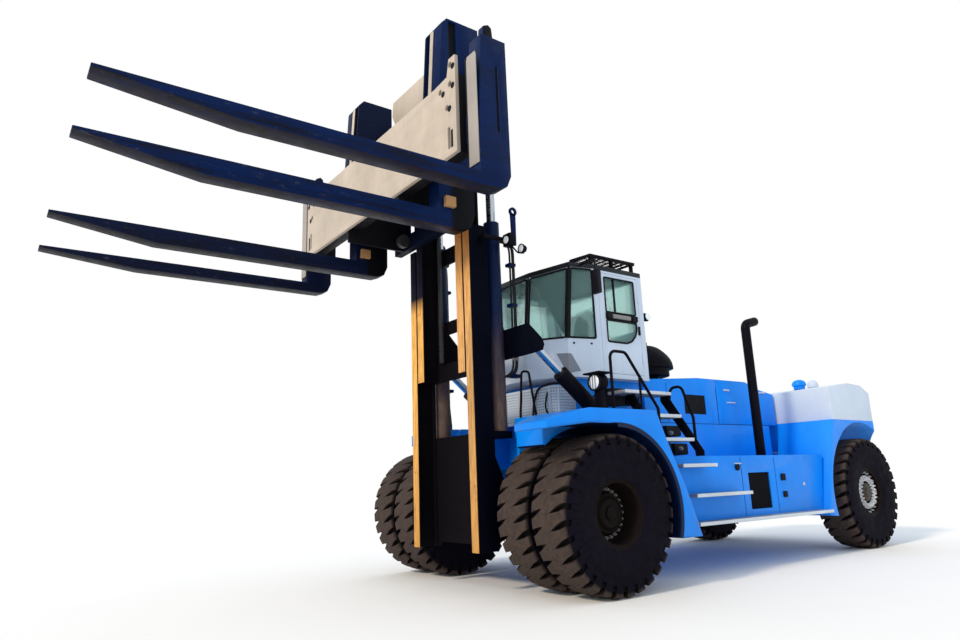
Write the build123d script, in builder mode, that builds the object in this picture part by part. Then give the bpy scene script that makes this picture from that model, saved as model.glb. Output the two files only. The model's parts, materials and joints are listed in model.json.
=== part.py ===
"""Heavy diesel forklift with four forks, in millimetres.
Places along the truck are measured from the front axle, +X forward, +Y left, +Z up from the floor.
Each finished piece is moved at the end, so that the whole truck is centred on its origin."""
import math
import os
from build123d import *

os.makedirs("parts", exist_ok=True)

# Overall reach before and behind the front axle
fork_tip_x = 4980
rear_end_x = -6800
centre_x = (fork_tip_x + rear_end_x) / 2

# Clearances
seat_gap = 0.3
run_gap = 8
cut_over = 20

# Wheels
tyre_radius = 807.5
tyre_width = 500
rim_radius = 318
flange_radius = 345
wheelbase = 5750
rear_wheel_x = -wheelbase
front_inner_y = 1120
front_outer_y = 1686
rear_wheel_y = 1382
hub_radius = 200
hub_bore_radius = 90
axle_z = tyre_radius

# Front axle
axle_tube_radius = 190
axle_flange_radius = 230
axle_flange_y = 800
axle_flange_width = 40
differential_radius = 330

# Steer axle
kingpin_y = 980
kingpin_radius = 55
beam_half_x = 140
beam_height = 300
knuckle_height = 260
knuckle_half_x = 110
knuckle_end_y = 1150
beam_jaw_depth = 130

# Chassis frame
frame_half_y = 750
frame_plate = 50
frame_front_x = 330
frame_rear_x = -4650
frame_low_z = 560
frame_top_z = 1855
tail_half_y = 320
tail_rear_x = -6350
tail_low_z = axle_z + beam_height / 2
tail_top_z = 1460
mast_pin_radius = 50
frame_nose_x = 480

# Mast
mast_front_x = 885
mast_rear_x = 615
mast_pivot_x = 350
mast_pivot_z = 760
outer_web_y = 675
outer_flange_in_y = 550
rail_plate = 30
outer_low_z = 430
outer_top_z = 4150
inner_flange_out_y = 520
inner_flange_in_y = 385
inner_web_y = 470
inner_low_z = 2400
inner_top_z = 6200
lift_travel = 1880

# Lift cylinders
lift_x = 480
lift_y = 592
lift_barrel_radius = 95
lift_rod_radius = 55
lift_low_z = 1720
lift_top_z = 4240
lift_piston_z = 3950

# Tilt cylinders
tilt_y = 950
tilt_eye_x = 200
tilt_eye_z = 2690
tilt_foot_x = -800
tilt_foot_z = 1885
foot_deck_z = 1800
tilt_barrel_radius = 95
tilt_rod_radius = 50
tilt_eye_radius = 80
tilt_eye_width = 90
ear_plate = 30
ear_base = 50

# Carriage
carriage_rear_x = 905
carriage_back_x = 1010
carriage_plate = 50
front_plate_x = 1800
front_plate = 40
front_plate_low_z = 4300
front_plate_top_z = 5150
front_plate_half_y = 1890
carriage_low_z = 3870
carriage_top_z = 5950

# Forks
fork_width = 200
fork_low_z = 3850
outer_fork_thick = 130
inner_fork_thick = 180
fork_tip_thick = 25
fork_taper = 1030
fork_heel = 150
outer_fork_y = 2095
inner_fork_y = 1010
outer_shank_front_x = 1790
outer_shank_rear_x = 1430
outer_shank_top_z = 5450
inner_shank_front_x = 1560
inner_shank_rear_x = 1100
inner_shank_top_z = 5200
fork_shaft_x = 1240
fork_shaft_z = 5600
fork_shaft_radius = 60

# Cab
cab_half_y = 900
cab_rear_x = -1800
cab_post_x = -900
cab_floor_z = 2380
cab_sill_z = 2850
cab_roof_z = 3800
cab_wall = 50
glass_thick = 8

# Body
bonnet_half_y = 750
bonnet_front_x = -1840
bonnet_split_x = -3400
bonnet_rear_x = -4860
bonnet_top_z = 2510
bonnet_wall = 40
deck_z = 1855
fender_half_y = 1970


def slab(x_pair, y_pair, z_pair, mode=Mode.ADD):
    """A block between two values of x, y and z."""
    (x0, x1), (y0, y1), (z0, z1) = sorted(x_pair), sorted(y_pair), sorted(z_pair)
    with Locations(((x0 + x1) / 2, (y0 + y1) / 2, (z0 + z1) / 2)):
        Box(x1 - x0, y1 - y0, z1 - z0, mode=mode)


def side_plate(outline, y_pair, mode=Mode.ADD):
    """A side profile of (x, z) points, extruded between two values of y."""
    y0, y1 = sorted(y_pair)
    with BuildSketch(Plane.XZ.offset(-y1)) as profile:
        with BuildLine():
            Polyline(*outline, close=True)
        make_face()
    extrude(profile.sketch, amount=y1 - y0, mode=mode)


def plan_plate(outline, z_pair, mode=Mode.ADD):
    """A plan of (x, y) points, extruded between two heights."""
    z0, z1 = sorted(z_pair)
    with BuildSketch(Plane.XY.offset(z0)) as profile:
        with BuildLine():
            Polyline(*outline, close=True)
        make_face()
    extrude(profile.sketch, amount=z1 - z0, mode=mode)


def cross_bar(x, z, radius, y_pair, mode=Mode.ADD):
    """A round bar along Y."""
    y0, y1 = sorted(y_pair)
    with BuildSketch(Plane.XZ.offset(-y1)) as profile:
        with Locations((x, z)):
            Circle(radius)
    extrude(profile.sketch, amount=y1 - y0, mode=mode)


def long_bar(y, z, radius, x_pair, mode=Mode.ADD):
    """A round bar along X."""
    x0, x1 = sorted(x_pair)
    with BuildSketch(Plane.YZ.offset(x0)) as profile:
        with Locations((y, z)):
            Circle(radius)
    extrude(profile.sketch, amount=x1 - x0, mode=mode)


def post(x, y, radius, z_pair, mode=Mode.ADD):
    """A round bar along Z."""
    z0, z1 = sorted(z_pair)
    with BuildSketch(Plane.XY.offset(z0)) as profile:
        with Locations((x, y)):
            Circle(radius)
    extrude(profile.sketch, amount=z1 - z0, mode=mode)


def turned(outline, wheel_x, mode=Mode.ADD):
    """A profile of (y, radius) points turned about a wheel's axle."""
    with BuildSketch(Plane.YZ.offset(wheel_x)) as profile:
        with BuildLine():
            Polyline(*[(y, axle_z + radius) for y, radius in outline], close=True)
        make_face()
    revolve(profile.sketch, axis=Axis((wheel_x, 0, axle_z), (0, 1, 0)), mode=mode)


def save(piece, name):
    """Move a finished piece so that the truck is centred, label it and write it."""
    solid = piece.part.moved(Location((-centre_x, 0, 0)))
    solid.label = name
    export_step(solid, f"parts/{name}.step")


# Wheels
tread_count = 30
tread_depth = 40
tread_block_share = 0.66
tread_hole_radius = 700
tread_gap_y = 18
tread_end_y = 236
carcass_shares = [(0.8, 0), (0.92, 0.18), (1, 0.56), (1, 0.78), (0.95, 0.9), (0.88, 1)]


def tread_ring(wheel_x, wheel_y, y_pair, turn_share):
    """One ring of tread blocks, turned by a share of the pitch."""
    pitch = 360 / tread_count
    low_radius = tyre_radius - tread_depth - cut_over / 4
    points = []
    for index in range(tread_count):
        start = (index + turn_share) * pitch
        for radius, share in ((low_radius, 0), (tyre_radius, 0.04), (tyre_radius, tread_block_share), (low_radius, tread_block_share + 0.04)):
            angle = math.radians(start + share * pitch)
            points.append((wheel_x + radius * math.cos(angle), axle_z + radius * math.sin(angle)))
    y0, y1 = sorted((wheel_y + y_pair[0], wheel_y + y_pair[1]))
    with BuildSketch(Plane.XZ.offset(-y1)) as profile:
        with BuildLine():
            Polyline(*points, close=True)
        make_face()
        with Locations((wheel_x, axle_z)):
            Circle(tread_hole_radius, mode=Mode.SUBTRACT)
    extrude(profile.sketch, amount=y1 - y0)


def tyre(wheel_x, wheel_y):
    half = tyre_width / 2
    crown = tyre_radius - tread_depth
    side_points = [(half * width_share, rim_radius + (crown - rim_radius) * radius_share) for width_share, radius_share in carcass_shares]
    outline = [(wheel_y - y, radius) for y, radius in side_points] + [(wheel_y + y, radius) for y, radius in reversed(side_points)]
    turned(outline, wheel_x)
    tread_ring(wheel_x, wheel_y, (tread_gap_y, tread_end_y), 0)
    tread_ring(wheel_x, wheel_y, (-tread_end_y, -tread_gap_y), 0.5)


def rim(wheel_x, wheel_y, side):
    """A rim barrel and its disc, with the outer side facing the given side."""
    bead = tyre_width / 2 * 0.8
    wall = 14
    turned(
        [
            (wheel_y - side * bead, rim_radius - wall),
            (wheel_y - side * bead, rim_radius),
            (wheel_y + side * bead, rim_radius),
            (wheel_y + side * bead, rim_radius - wall),
        ],
        wheel_x,
    )


def front_rims(side):
    """Both rims of one twin wheel on their common hub and planet cover."""
    with BuildPart() as rims:
        for wheel_y in (front_inner_y, front_outer_y):
            rim(0, side * wheel_y, side)
        inner_end = axle_flange_y + axle_flange_width + seat_gap
        disc_in = front_outer_y - 60
        disc_out = front_outer_y - 20
        cover_end = front_outer_y + 90
        turned(
            [
                (side * inner_end, hub_bore_radius),
                (side * inner_end, hub_radius),
                (side * (front_inner_y + 40), hub_radius),
                (side * (front_inner_y + 40), rim_radius - 5),
                (side * (front_inner_y + 80), rim_radius - 5),
                (side * (front_inner_y + 80), hub_radius),
                (side * disc_in, hub_radius),
                (side * disc_in, rim_radius - 5),
                (side * disc_out, rim_radius - 5),
                (side * disc_out, hub_radius),
                (side * (cover_end - 60), hub_radius),
                (side * cover_end, hub_radius * 0.7),
                (side * cover_end, 0),
                (side * (cover_end - 90), 0),
                (side * (cover_end - 90), hub_bore_radius),
            ],
            0,
        )
    return rims


def front_tyres(side):
    with BuildPart() as tyres:
        for wheel_y in (front_inner_y, front_outer_y):
            tyre(0, side * wheel_y)
    return tyres


def rear_rim(side):
    with BuildPart() as rims:
        rim(rear_wheel_x, side * rear_wheel_y, side)
        disc_in = rear_wheel_y - 20
        disc_out = rear_wheel_y + 20
        cover_end = rear_wheel_y + 130
        turned(
            [
                (side * (knuckle_end_y + seat_gap), hub_bore_radius),
                (side * (knuckle_end_y + seat_gap), hub_radius * 0.8),
                (side * disc_in, hub_radius * 0.8),
                (side * disc_in, rim_radius - 5),
                (side * disc_out, rim_radius - 5),
                (side * disc_out, hub_radius * 0.8),
                (side * (cover_end - 40), hub_radius * 0.6),
                (side * cover_end, hub_radius * 0.4),
                (side * cover_end, 0),
                (side * (cover_end - 80), 0),
                (side * (cover_end - 80), hub_bore_radius),
            ],
            rear_wheel_x,
        )
    return rims


def rear_tyre(side):
    with BuildPart() as tyres:
        tyre(rear_wheel_x, side * rear_wheel_y)
    return tyres


for side, word in ((1, "left"), (-1, "right")):
    save(front_rims(side), f"front_rims_{word}")
    save(front_tyres(side), f"front_tyres_{word}")
    save(rear_rim(side), f"rear_rim_{word}")
    save(rear_tyre(side), f"rear_tyre_{word}")

# Axles
with BuildPart() as drive_axle:
    flange_end = axle_flange_y + axle_flange_width
    spindle_end = front_outer_y - 60
    half_profile = [
        (0, 0),
        (0, differential_radius),
        (180, differential_radius),
        (300, axle_tube_radius),
        (axle_flange_y, axle_tube_radius),
        (axle_flange_y, axle_flange_radius),
        (flange_end, axle_flange_radius),
        (flange_end, hub_bore_radius - run_gap),
        (spindle_end, hub_bore_radius - run_gap),
        (spindle_end, 0),
    ]
    turned(half_profile, 0)
    turned([(-y, radius) for y, radius in half_profile], 0)
save(drive_axle, "drive_axle")

with BuildPart() as steer_axle:
    beam_low = axle_z - beam_height / 2
    beam_top = axle_z + beam_height / 2
    jaw_y = kingpin_y - beam_jaw_depth
    slab(
        (rear_wheel_x - beam_half_x, rear_wheel_x + beam_half_x),
        (-jaw_y, jaw_y),
        (beam_low, beam_top),
    )
    for side in (1, -1):
        for low, high in (
            (axle_z + knuckle_height / 2 + seat_gap, axle_z + knuckle_height / 2 + 70),
            (axle_z - knuckle_height / 2 - 70, axle_z - knuckle_height / 2 - seat_gap),
        ):
            plan_plate(
                [
                    (rear_wheel_x - beam_half_x, side * (jaw_y - 60)),
                    (rear_wheel_x + beam_half_x, side * (jaw_y - 60)),
                    (rear_wheel_x + 90, side * (kingpin_y + 60)),
                    (rear_wheel_x - 90, side * (kingpin_y + 60)),
                ],
                (low, high),
            )
save(steer_axle, "steer_axle")


def knuckle(side):
    """Knuckle block on its kingpin, with the spindle that carries the rear hub."""
    with BuildPart() as part:
        post(rear_wheel_x, side * kingpin_y, knuckle_half_x, (axle_z - knuckle_height / 2, axle_z + knuckle_height / 2))
        cross_bar(rear_wheel_x, axle_z, knuckle_half_x, (side * kingpin_y, side * knuckle_end_y))
        cross_bar(rear_wheel_x, axle_z, hub_bore_radius - run_gap, (side * knuckle_end_y, side * (rear_wheel_y + 40)))
    return part


for side, word in ((1, "left"), (-1, "right")):
    save(knuckle(side), f"steer_knuckle_{word}")

# Chassis frame
frame_nose_low_z = axle_z - 250
frame_nose_top_z = 1000
frame_wall_x = -1300
bulkhead_x = -700
bulkhead_low_z = 1250
mast_pin_in_y = 490
belly_plate = 12
inner_y = frame_half_y - frame_plate
with BuildPart() as chassis_frame:
    for side in (1, -1):
        side_plate(
            [
                (frame_nose_x, frame_nose_low_z),
                (frame_nose_x, frame_nose_top_z),
                (frame_front_x, frame_nose_top_z + 150),
                (frame_front_x, frame_top_z - 200),
                (frame_front_x - 200, frame_top_z),
                (frame_rear_x, frame_top_z),
                (frame_rear_x, frame_low_z),
                (-500, frame_low_z),
                (-380, frame_nose_low_z),
            ],
            (side * inner_y, side * frame_half_y),
        )
        cross_bar(0, axle_z, axle_tube_radius + seat_gap, (side * (inner_y - cut_over), side * (frame_half_y + cut_over)), mode=Mode.SUBTRACT)
        cross_bar(mast_pivot_x, mast_pivot_z, mast_pin_radius, (side * mast_pin_in_y, side * frame_half_y))
save(chassis_frame, "chassis_frame")

with BuildPart() as cross_members:
    slab((frame_rear_x, frame_rear_x + frame_plate), (-inner_y, inner_y), (frame_low_z, frame_top_z))
    slab((frame_wall_x, frame_wall_x + frame_plate), (-inner_y, inner_y), (frame_low_z, frame_top_z))
    slab((frame_rear_x, frame_wall_x), (-inner_y, inner_y), (frame_low_z, frame_low_z + belly_plate))
    slab((bulkhead_x, bulkhead_x + frame_plate), (-inner_y, inner_y), (bulkhead_low_z, frame_top_z))
    slab((frame_front_x - 400, frame_front_x - 40), (-inner_y, inner_y), (bulkhead_low_z, bulkhead_low_z + frame_plate))
save(cross_members, "cross_members")

with BuildPart() as frame_tail:
    for side in (1, -1):
        slab((tail_rear_x, frame_rear_x), (side * (tail_half_y - frame_plate), side * tail_half_y), (tail_low_z, tail_top_z))
    slab((tail_rear_x, tail_rear_x + frame_plate), (-tail_half_y, tail_half_y), (tail_low_z, tail_top_z))
    slab((rear_wheel_x - 250, rear_wheel_x + 250), (-tail_half_y, tail_half_y), (tail_low_z, tail_low_z + 40))
save(frame_tail, "frame_tail")

# Fenders over the front twin wheels
fender_back = [
    (-600, deck_z),
    (-720, 1580),
    (-1000, 990),
    (-1180, 510),
    (-860, 510),
]
fender_nose_x = 970
fender_lip_low_z = 1640
fender_lip_top_z = 1705
fender_outer_outline = [(fender_nose_x, fender_lip_low_z), (fender_nose_x, 1712), (770, 1772), (390, deck_z)] + fender_back
fender_inner_outline = [(600, 1520), (600, 1770), (390, deck_z)] + fender_back
fender_split_y = 1480
arch_radius = 860
fender_plate = 12
fender_root_x = 380
fender_root_y = 1050
right_fender_x = 150
fender_cut_z = (0, deck_z + cut_over)
lip_clearance = [
    (fender_nose_x, fender_lip_low_z),
    (400, fender_lip_top_z),
    (0, fender_lip_top_z),
    (0, axle_z),
    (fender_nose_x + cut_over, axle_z),
    (fender_nose_x + cut_over, fender_lip_low_z),
]
with BuildPart() as fenders:
    for side in (1, -1):
        inner = frame_half_y
        side_plate(fender_inner_outline, (side * inner, side * fender_split_y))
        side_plate(fender_outer_outline, (side * fender_split_y, side * fender_half_y))
        cross_bar(0, axle_z, arch_radius + 40, (side * (inner - cut_over), side * (fender_half_y - fender_plate)), mode=Mode.SUBTRACT)
        cross_bar(0, axle_z, arch_radius, (side * (fender_half_y - 2 * fender_plate), side * (fender_half_y + cut_over)), mode=Mode.SUBTRACT)
        side_plate(lip_clearance, (side * fender_split_y, side * (fender_half_y + cut_over)), mode=Mode.SUBTRACT)
        slab((-2000, 2000), (side * (inner - cut_over), side * (fender_half_y - 420)), (0, 1250), mode=Mode.SUBTRACT)
        slab((fender_root_x, fender_nose_x + cut_over), (side * (inner - cut_over), side * fender_root_y), fender_cut_z, mode=Mode.SUBTRACT)
    slab((fender_root_x, fender_nose_x + cut_over), (cut_over - inner, -fender_split_y - cut_over), fender_cut_z, mode=Mode.SUBTRACT)
    slab((right_fender_x, fender_nose_x + cut_over), (-fender_split_y, -fender_half_y - cut_over), fender_cut_z, mode=Mode.SUBTRACT)
save(fenders, "fenders")

# Cab: rings of (x, y) points on the left side, mirrored to the right
cab_sill_ring = [(-176, 360), (-490, 785), (cab_post_x, cab_half_y), (cab_rear_x, cab_half_y)]
cab_roof_ring = [(-238, 404), (-560, 820), (cab_post_x, cab_half_y), (cab_rear_x, cab_half_y)]
brow_top_z = 3712
roof_thick = 55


def ring(points):
    return points + [(x, -y) for x, y in reversed(points)]


def ring_face(points, z, inset):
    with BuildSketch(Plane.XY.offset(z)) as face:
        with BuildLine():
            Polyline(*ring(points), close=True)
        make_face()
        if inset:
            offset(amount=-inset, kind=Kind.INTERSECTION)
    return face.sketch


def ring_body(inset, mode):
    low = ring_face(cab_sill_ring, cab_sill_z, inset)
    high = ring_face(cab_roof_ring, cab_roof_z, inset)
    loft([low, high], ruled=True, mode=mode)


def pane_plane(low_a, low_b, high_a):
    """A plane on a cab wall: its x runs from low_a to low_b, and z points out of the cab."""
    x_dir = (Vector(*low_b) - Vector(*low_a)).normalized()
    up = (Vector(*high_a) - Vector(*low_a)).normalized()
    return Plane(origin=low_a, x_dir=x_dir, z_dir=x_dir.cross(up))


window_frame = 20


def edge_point(index, z, side):
    """The point at a height on the cab's edge above one ring point."""
    share = (z - cab_sill_z) / (cab_roof_z - cab_sill_z)
    (x0, y0), (x1, y1) = cab_sill_ring[index], cab_roof_ring[index]
    return (x0 + (x1 - x0) * share, side * (y0 + (y1 - y0) * share), z)


def pane_corners(index_a, index_b, side):
    """Sill and roof corners of the wall between two ring points, on one side of the cab."""
    a, b = (index_a, index_b) if side > 0 else (index_b, index_a)
    top = {0: brow_top_z, 1: cab_roof_z, 2: cab_roof_z}
    return [
        edge_point(a, cab_sill_z, side),
        edge_point(b, cab_sill_z, side),
        edge_point(b, top[b], side),
        edge_point(a, top[a], side),
    ]


def pane(corners, depth_pair, inset, mode=Mode.ADD):
    """A flat pane inside four wall corners, between two depths behind the wall's outer face."""
    plane = pane_plane(corners[0], corners[1], corners[3])
    local = [plane.to_local_coords(Vector(*corner)) for corner in corners]
    near, far = depth_pair
    with BuildSketch(plane.offset(-far)) as opening:
        with BuildLine():
            Polyline(*[(point.X, point.Y) for point in local], close=True)
        make_face()
        offset(amount=-inset, kind=Kind.INTERSECTION)
    extrude(opening.sketch, amount=far - near, mode=mode)


front_corners = [
    edge_point(0, cab_sill_z, -1),
    edge_point(0, cab_sill_z, 1),
    edge_point(0, brow_top_z, 1),
    edge_point(0, brow_top_z, -1),
]
rear_corners = [
    (cab_rear_x, cab_half_y - 150, cab_sill_z + 200),
    (cab_rear_x, -cab_half_y + 150, cab_sill_z + 200),
    (cab_rear_x, -cab_half_y + 150, cab_roof_z),
    (cab_rear_x, cab_half_y - 150, cab_roof_z),
]
right_corners = [
    (cab_rear_x + 100, -cab_half_y, cab_sill_z),
    (cab_post_x - 40, -cab_half_y, cab_sill_z),
    (cab_post_x - 40, -cab_half_y, cab_roof_z),
    (cab_rear_x + 100, -cab_half_y, cab_roof_z),
]
fixed_panes = [front_corners, rear_corners, right_corners]
for side in (1, -1):
    fixed_panes.append(pane_corners(0, 1, side))
    fixed_panes.append(pane_corners(1, 2, side))

door_front_x = cab_post_x - 70
door_rear_x = cab_rear_x + 90
door_low_z = cab_floor_z + 60
door_top_z = cab_roof_z - 40
door_gap = 5
door_hinge_x = door_rear_x + door_gap / 2
door_knuckle_radius = 12
door_knuckle_spans = [(2620, 2720), (3420, 3520)]

brow_rear_x = cab_roof_ring[1][0]
brow_front_x = cab_roof_ring[0][0]
brow_reach = 120
brow_slope = (cab_roof_z - brow_top_z) / (brow_rear_x - brow_front_x)


def brow_line(rise):
    """Two points of the sloping brow line, raised by a height, and the space above it."""
    front_z = brow_top_z + rise - brow_slope * -brow_reach
    rear_z = cab_roof_z + rise
    sky_z = cab_roof_z + 2 * roof_thick + cut_over
    return [(brow_rear_x, rear_z), (brow_front_x + brow_reach, front_z), (brow_front_x + brow_reach, sky_z), (brow_rear_x, sky_z)]


with BuildPart() as cab_hollow:
    ring_body(cab_wall, Mode.ADD)
    extrude(ring_face(cab_sill_ring, cab_floor_z + cab_wall, cab_wall), amount=cab_sill_z - cab_floor_z - cab_wall)
    side_plate(brow_line(0), (-cab_half_y, cab_half_y), mode=Mode.SUBTRACT)

with BuildPart() as cab_shell:
    ring_body(0, Mode.ADD)
    plan_plate(ring(cab_sill_ring), (cab_floor_z, cab_sill_z))
    plan_plate(ring(cab_roof_ring), (cab_roof_z, cab_roof_z + roof_thick))
    side_plate(brow_line(roof_thick), (-cab_half_y, cab_half_y), mode=Mode.SUBTRACT)
    add(cab_hollow.part, mode=Mode.SUBTRACT)
    for corners in fixed_panes:
        pane(corners, (-cut_over, cab_wall + cut_over), window_frame, mode=Mode.SUBTRACT)
    slab((door_rear_x, door_front_x), (cab_half_y - cab_wall - cut_over, cab_half_y + cut_over), (door_low_z, door_top_z), mode=Mode.SUBTRACT)
    for low, high in door_knuckle_spans:
        post(door_hinge_x, cab_half_y, door_knuckle_radius, (low, high))
save(cab_shell, "cab_shell")

with BuildPart() as cab_glass:
    for corners in fixed_panes:
        pane(corners, (cab_wall / 2 - glass_thick, cab_wall / 2), window_frame)
save(cab_glass, "cab_glass")

door_window_low_z = 2850
door_bar_span = (3140, 3240)
door_window_x = (door_rear_x + 68, door_front_x - 112)
door_upper_window = [
    (door_window_x[0], door_top_z - 50),
    (door_window_x[1], door_top_z - 50),
    (door_window_x[1], door_bar_span[1]),
    (door_window_x[0], door_bar_span[1]),
]
door_lower_window = [
    (door_window_x[0], door_bar_span[0]),
    (door_window_x[1], door_bar_span[0]),
    (door_window_x[1], door_window_low_z),
    (door_window_x[0] + 210, door_window_low_z),
    (door_window_x[0] + 110, door_window_low_z + 35),
    (door_window_x[0] + 35, door_window_low_z + 110),
    (door_window_x[0], door_window_low_z + 200),
]
with BuildPart() as cab_door:
    slab((door_rear_x + door_gap, door_front_x - door_gap), (cab_half_y - cab_wall, cab_half_y), (door_low_z + door_gap, door_top_z - door_gap))
    for window in (door_upper_window, door_lower_window):
        side_plate(window, (cab_half_y - cab_wall - cut_over, cab_half_y + cut_over), mode=Mode.SUBTRACT)
    for low, high in door_knuckle_spans:
        post(door_hinge_x, cab_half_y, door_knuckle_radius + seat_gap, (low - run_gap, high + run_gap), mode=Mode.SUBTRACT)
save(cab_door, "cab_door")

with BuildPart() as door_glass:
    for window in (door_upper_window, door_lower_window):
        side_plate(window, (cab_half_y - cab_wall / 2 - glass_thick, cab_half_y - cab_wall / 2))
save(door_glass, "door_glass")

base_front_x = -640
base_half_y = 720
base_wall = 40
with BuildPart() as cab_base:
    slab((base_front_x, cab_rear_x), (-base_half_y, base_half_y), (deck_z, cab_floor_z))
    slab(
        (base_front_x - base_wall, cab_rear_x + base_wall),
        (-base_half_y + base_wall, base_half_y - base_wall),
        (deck_z - cut_over, cab_floor_z - base_wall),
        mode=Mode.SUBTRACT,
    )
save(cab_base, "cab_base")

# Grille box before the cab, open to the rear
locker_front_x = -300
locker_plan = [
    (base_front_x, 700),
    (locker_front_x - 60, 700),
    (locker_front_x, 600),
    (locker_front_x, -600),
    (locker_front_x - 60, -700),
    (base_front_x, -700),
]
locker_hollow = [
    (base_front_x - cut_over, 670),
    (locker_front_x - 80, 670),
    (locker_front_x - 30, 580),
    (locker_front_x - 30, -580),
    (locker_front_x - 80, -670),
    (base_front_x - cut_over, -670),
]
locker_top_z = 2290
locker_sheet = 30
with BuildPart() as grille_box:
    plan_plate(locker_plan, (deck_z, locker_top_z))
    plan_plate(locker_hollow, (deck_z - cut_over, locker_top_z - locker_sheet), mode=Mode.SUBTRACT)
save(grille_box, "grille_box")

guard_legs_z = 3990
guard_top_z = 4030
guard_bar_z = (4002, 4022)
guard_rail_y = (780, 820)
guard_front_x = -950
guard_nose_x = -610
guard_nose_z = cab_roof_z + roof_thick + seat_gap
guard_bar_count = 8
guard_bar_width = 24
guard_leg = 40
with BuildPart() as roof_guard:
    for side in (1, -1):
        rail_pair = [side * y for y in guard_rail_y]
        side_plate(
            [
                (cab_rear_x, guard_legs_z),
                (cab_rear_x, guard_top_z),
                (guard_front_x, guard_top_z),
                (guard_nose_x, guard_nose_z + guard_leg),
                (guard_nose_x, guard_nose_z),
                (guard_nose_x - guard_leg, guard_nose_z),
                (guard_front_x, guard_legs_z),
            ],
            rail_pair,
        )
        for guard_x in (cab_rear_x + guard_leg, (cab_rear_x + guard_front_x) / 2, guard_front_x - guard_leg):
            slab((guard_x, guard_x + guard_leg), rail_pair, (cab_roof_z + roof_thick, guard_legs_z))
    bar_pitch = (guard_front_x - guard_leg - cab_rear_x) / (guard_bar_count - 1)
    for index in range(guard_bar_count):
        bar_x = cab_rear_x + index * bar_pitch
        slab((bar_x, bar_x + guard_bar_width), (-guard_rail_y[0], guard_rail_y[0]), guard_bar_z)
    for share in (-0.5, 0, 0.5):
        bar_y = guard_rail_y[0] * share
        slab((cab_rear_x, guard_front_x - guard_leg), (bar_y, bar_y + guard_bar_width), guard_bar_z)
save(roof_guard, "roof_guard")

floor_top = cab_floor_z + cab_wall
with BuildPart() as operator_chair:
    slab((-1500, -1050), (-260, 260), (floor_top, floor_top + 300))
    slab((-1520, -1000), (-270, 270), (floor_top + 300, floor_top + 430))
    side_plate([(-1500, floor_top + 430), (-1380, floor_top + 430), (-1500, floor_top + 1050), (-1600, floor_top + 1050)], (-250, 250))
save(operator_chair, "operator_chair")

with BuildPart() as dashboard:
    slab((-560, -460), (-400, 400), (floor_top, cab_sill_z))
    side_plate([(-460, cab_sill_z - 60), (-460, cab_sill_z + 60), (-640, cab_sill_z), (-640, cab_sill_z - 60)], (-380, 380))
    with BuildSketch(Plane(origin=(-640, 0, cab_sill_z + 40), z_dir=(-0.5, 0, 0.85))):
        Circle(200)
        Circle(170, mode=Mode.SUBTRACT)
        Rectangle(360, 30)
    extrude(amount=30)
    with BuildSketch(Plane(origin=(-600, 0, cab_sill_z - 30), z_dir=(-0.5, 0, 0.85))):
        Circle(25)
    extrude(amount=100)
save(dashboard, "dashboard")

# Bonnet and engine
lid_hinge_y = 76
lid_gap = 4
lid_pin_radius = 8
lid_pin_reach = (-4100, -3500)
lid_front_x = bonnet_split_x - run_gap
lid_profile = [
    (lid_front_x, deck_z + run_gap),
    (lid_front_x, bonnet_top_z),
    (-4150, bonnet_top_z),
    (-4450, 2410),
    (bonnet_rear_x, 2345),
    (bonnet_rear_x, deck_z + run_gap),
]
lid_hollow = [
    (lid_front_x + cut_over, deck_z - cut_over),
    (lid_front_x + cut_over, bonnet_top_z - bonnet_wall),
    (-4140, bonnet_top_z - bonnet_wall),
    (-4440, 2410 - bonnet_wall),
    (bonnet_rear_x + bonnet_wall, 2345 - bonnet_wall),
    (bonnet_rear_x + bonnet_wall, deck_z - cut_over),
]
spine_profile = [
    (bonnet_split_x, bonnet_top_z),
    (-4150, bonnet_top_z),
    (-4450, 2410),
    (bonnet_rear_x, 2345),
    (bonnet_rear_x, deck_z),
    (bonnet_rear_x + bonnet_wall, deck_z),
    (bonnet_rear_x + bonnet_wall, 2345 - bonnet_wall),
    (-4440, 2410 - bonnet_wall),
    (-4140, bonnet_top_z - bonnet_wall),
    (bonnet_split_x, bonnet_top_z - bonnet_wall),
]
bonnet_brow_z = 2430
bonnet_crest_x = -3000
bonnet_profile = [
    (bonnet_front_x, deck_z),
    (bonnet_front_x, bonnet_brow_z),
    (bonnet_crest_x, bonnet_top_z),
    (bonnet_split_x, bonnet_top_z),
    (bonnet_split_x, deck_z),
]
bonnet_hollow = [
    (bonnet_front_x - bonnet_wall, deck_z - cut_over),
    (bonnet_front_x - bonnet_wall, bonnet_brow_z - bonnet_wall),
    (bonnet_crest_x, bonnet_top_z - bonnet_wall),
    (bonnet_split_x - cut_over, bonnet_top_z - bonnet_wall),
    (bonnet_split_x - cut_over, deck_z - cut_over),
]


def bonnet_lid(side):
    """Half of the rear hood, hinged beside the spine."""
    with BuildPart() as lid:
        side_plate(lid_profile, (side * (lid_hinge_y + lid_gap), side * bonnet_half_y))
        side_plate(lid_hollow, (0, side * (bonnet_half_y - bonnet_wall)), mode=Mode.SUBTRACT)
        long_bar(side * lid_hinge_y, bonnet_top_z, lid_pin_radius + seat_gap, lid_pin_reach, mode=Mode.SUBTRACT)
    return lid


for side, word in ((1, "left"), (-1, "right")):
    save(bonnet_lid(side), f"bonnet_lid_{word}")

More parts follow.
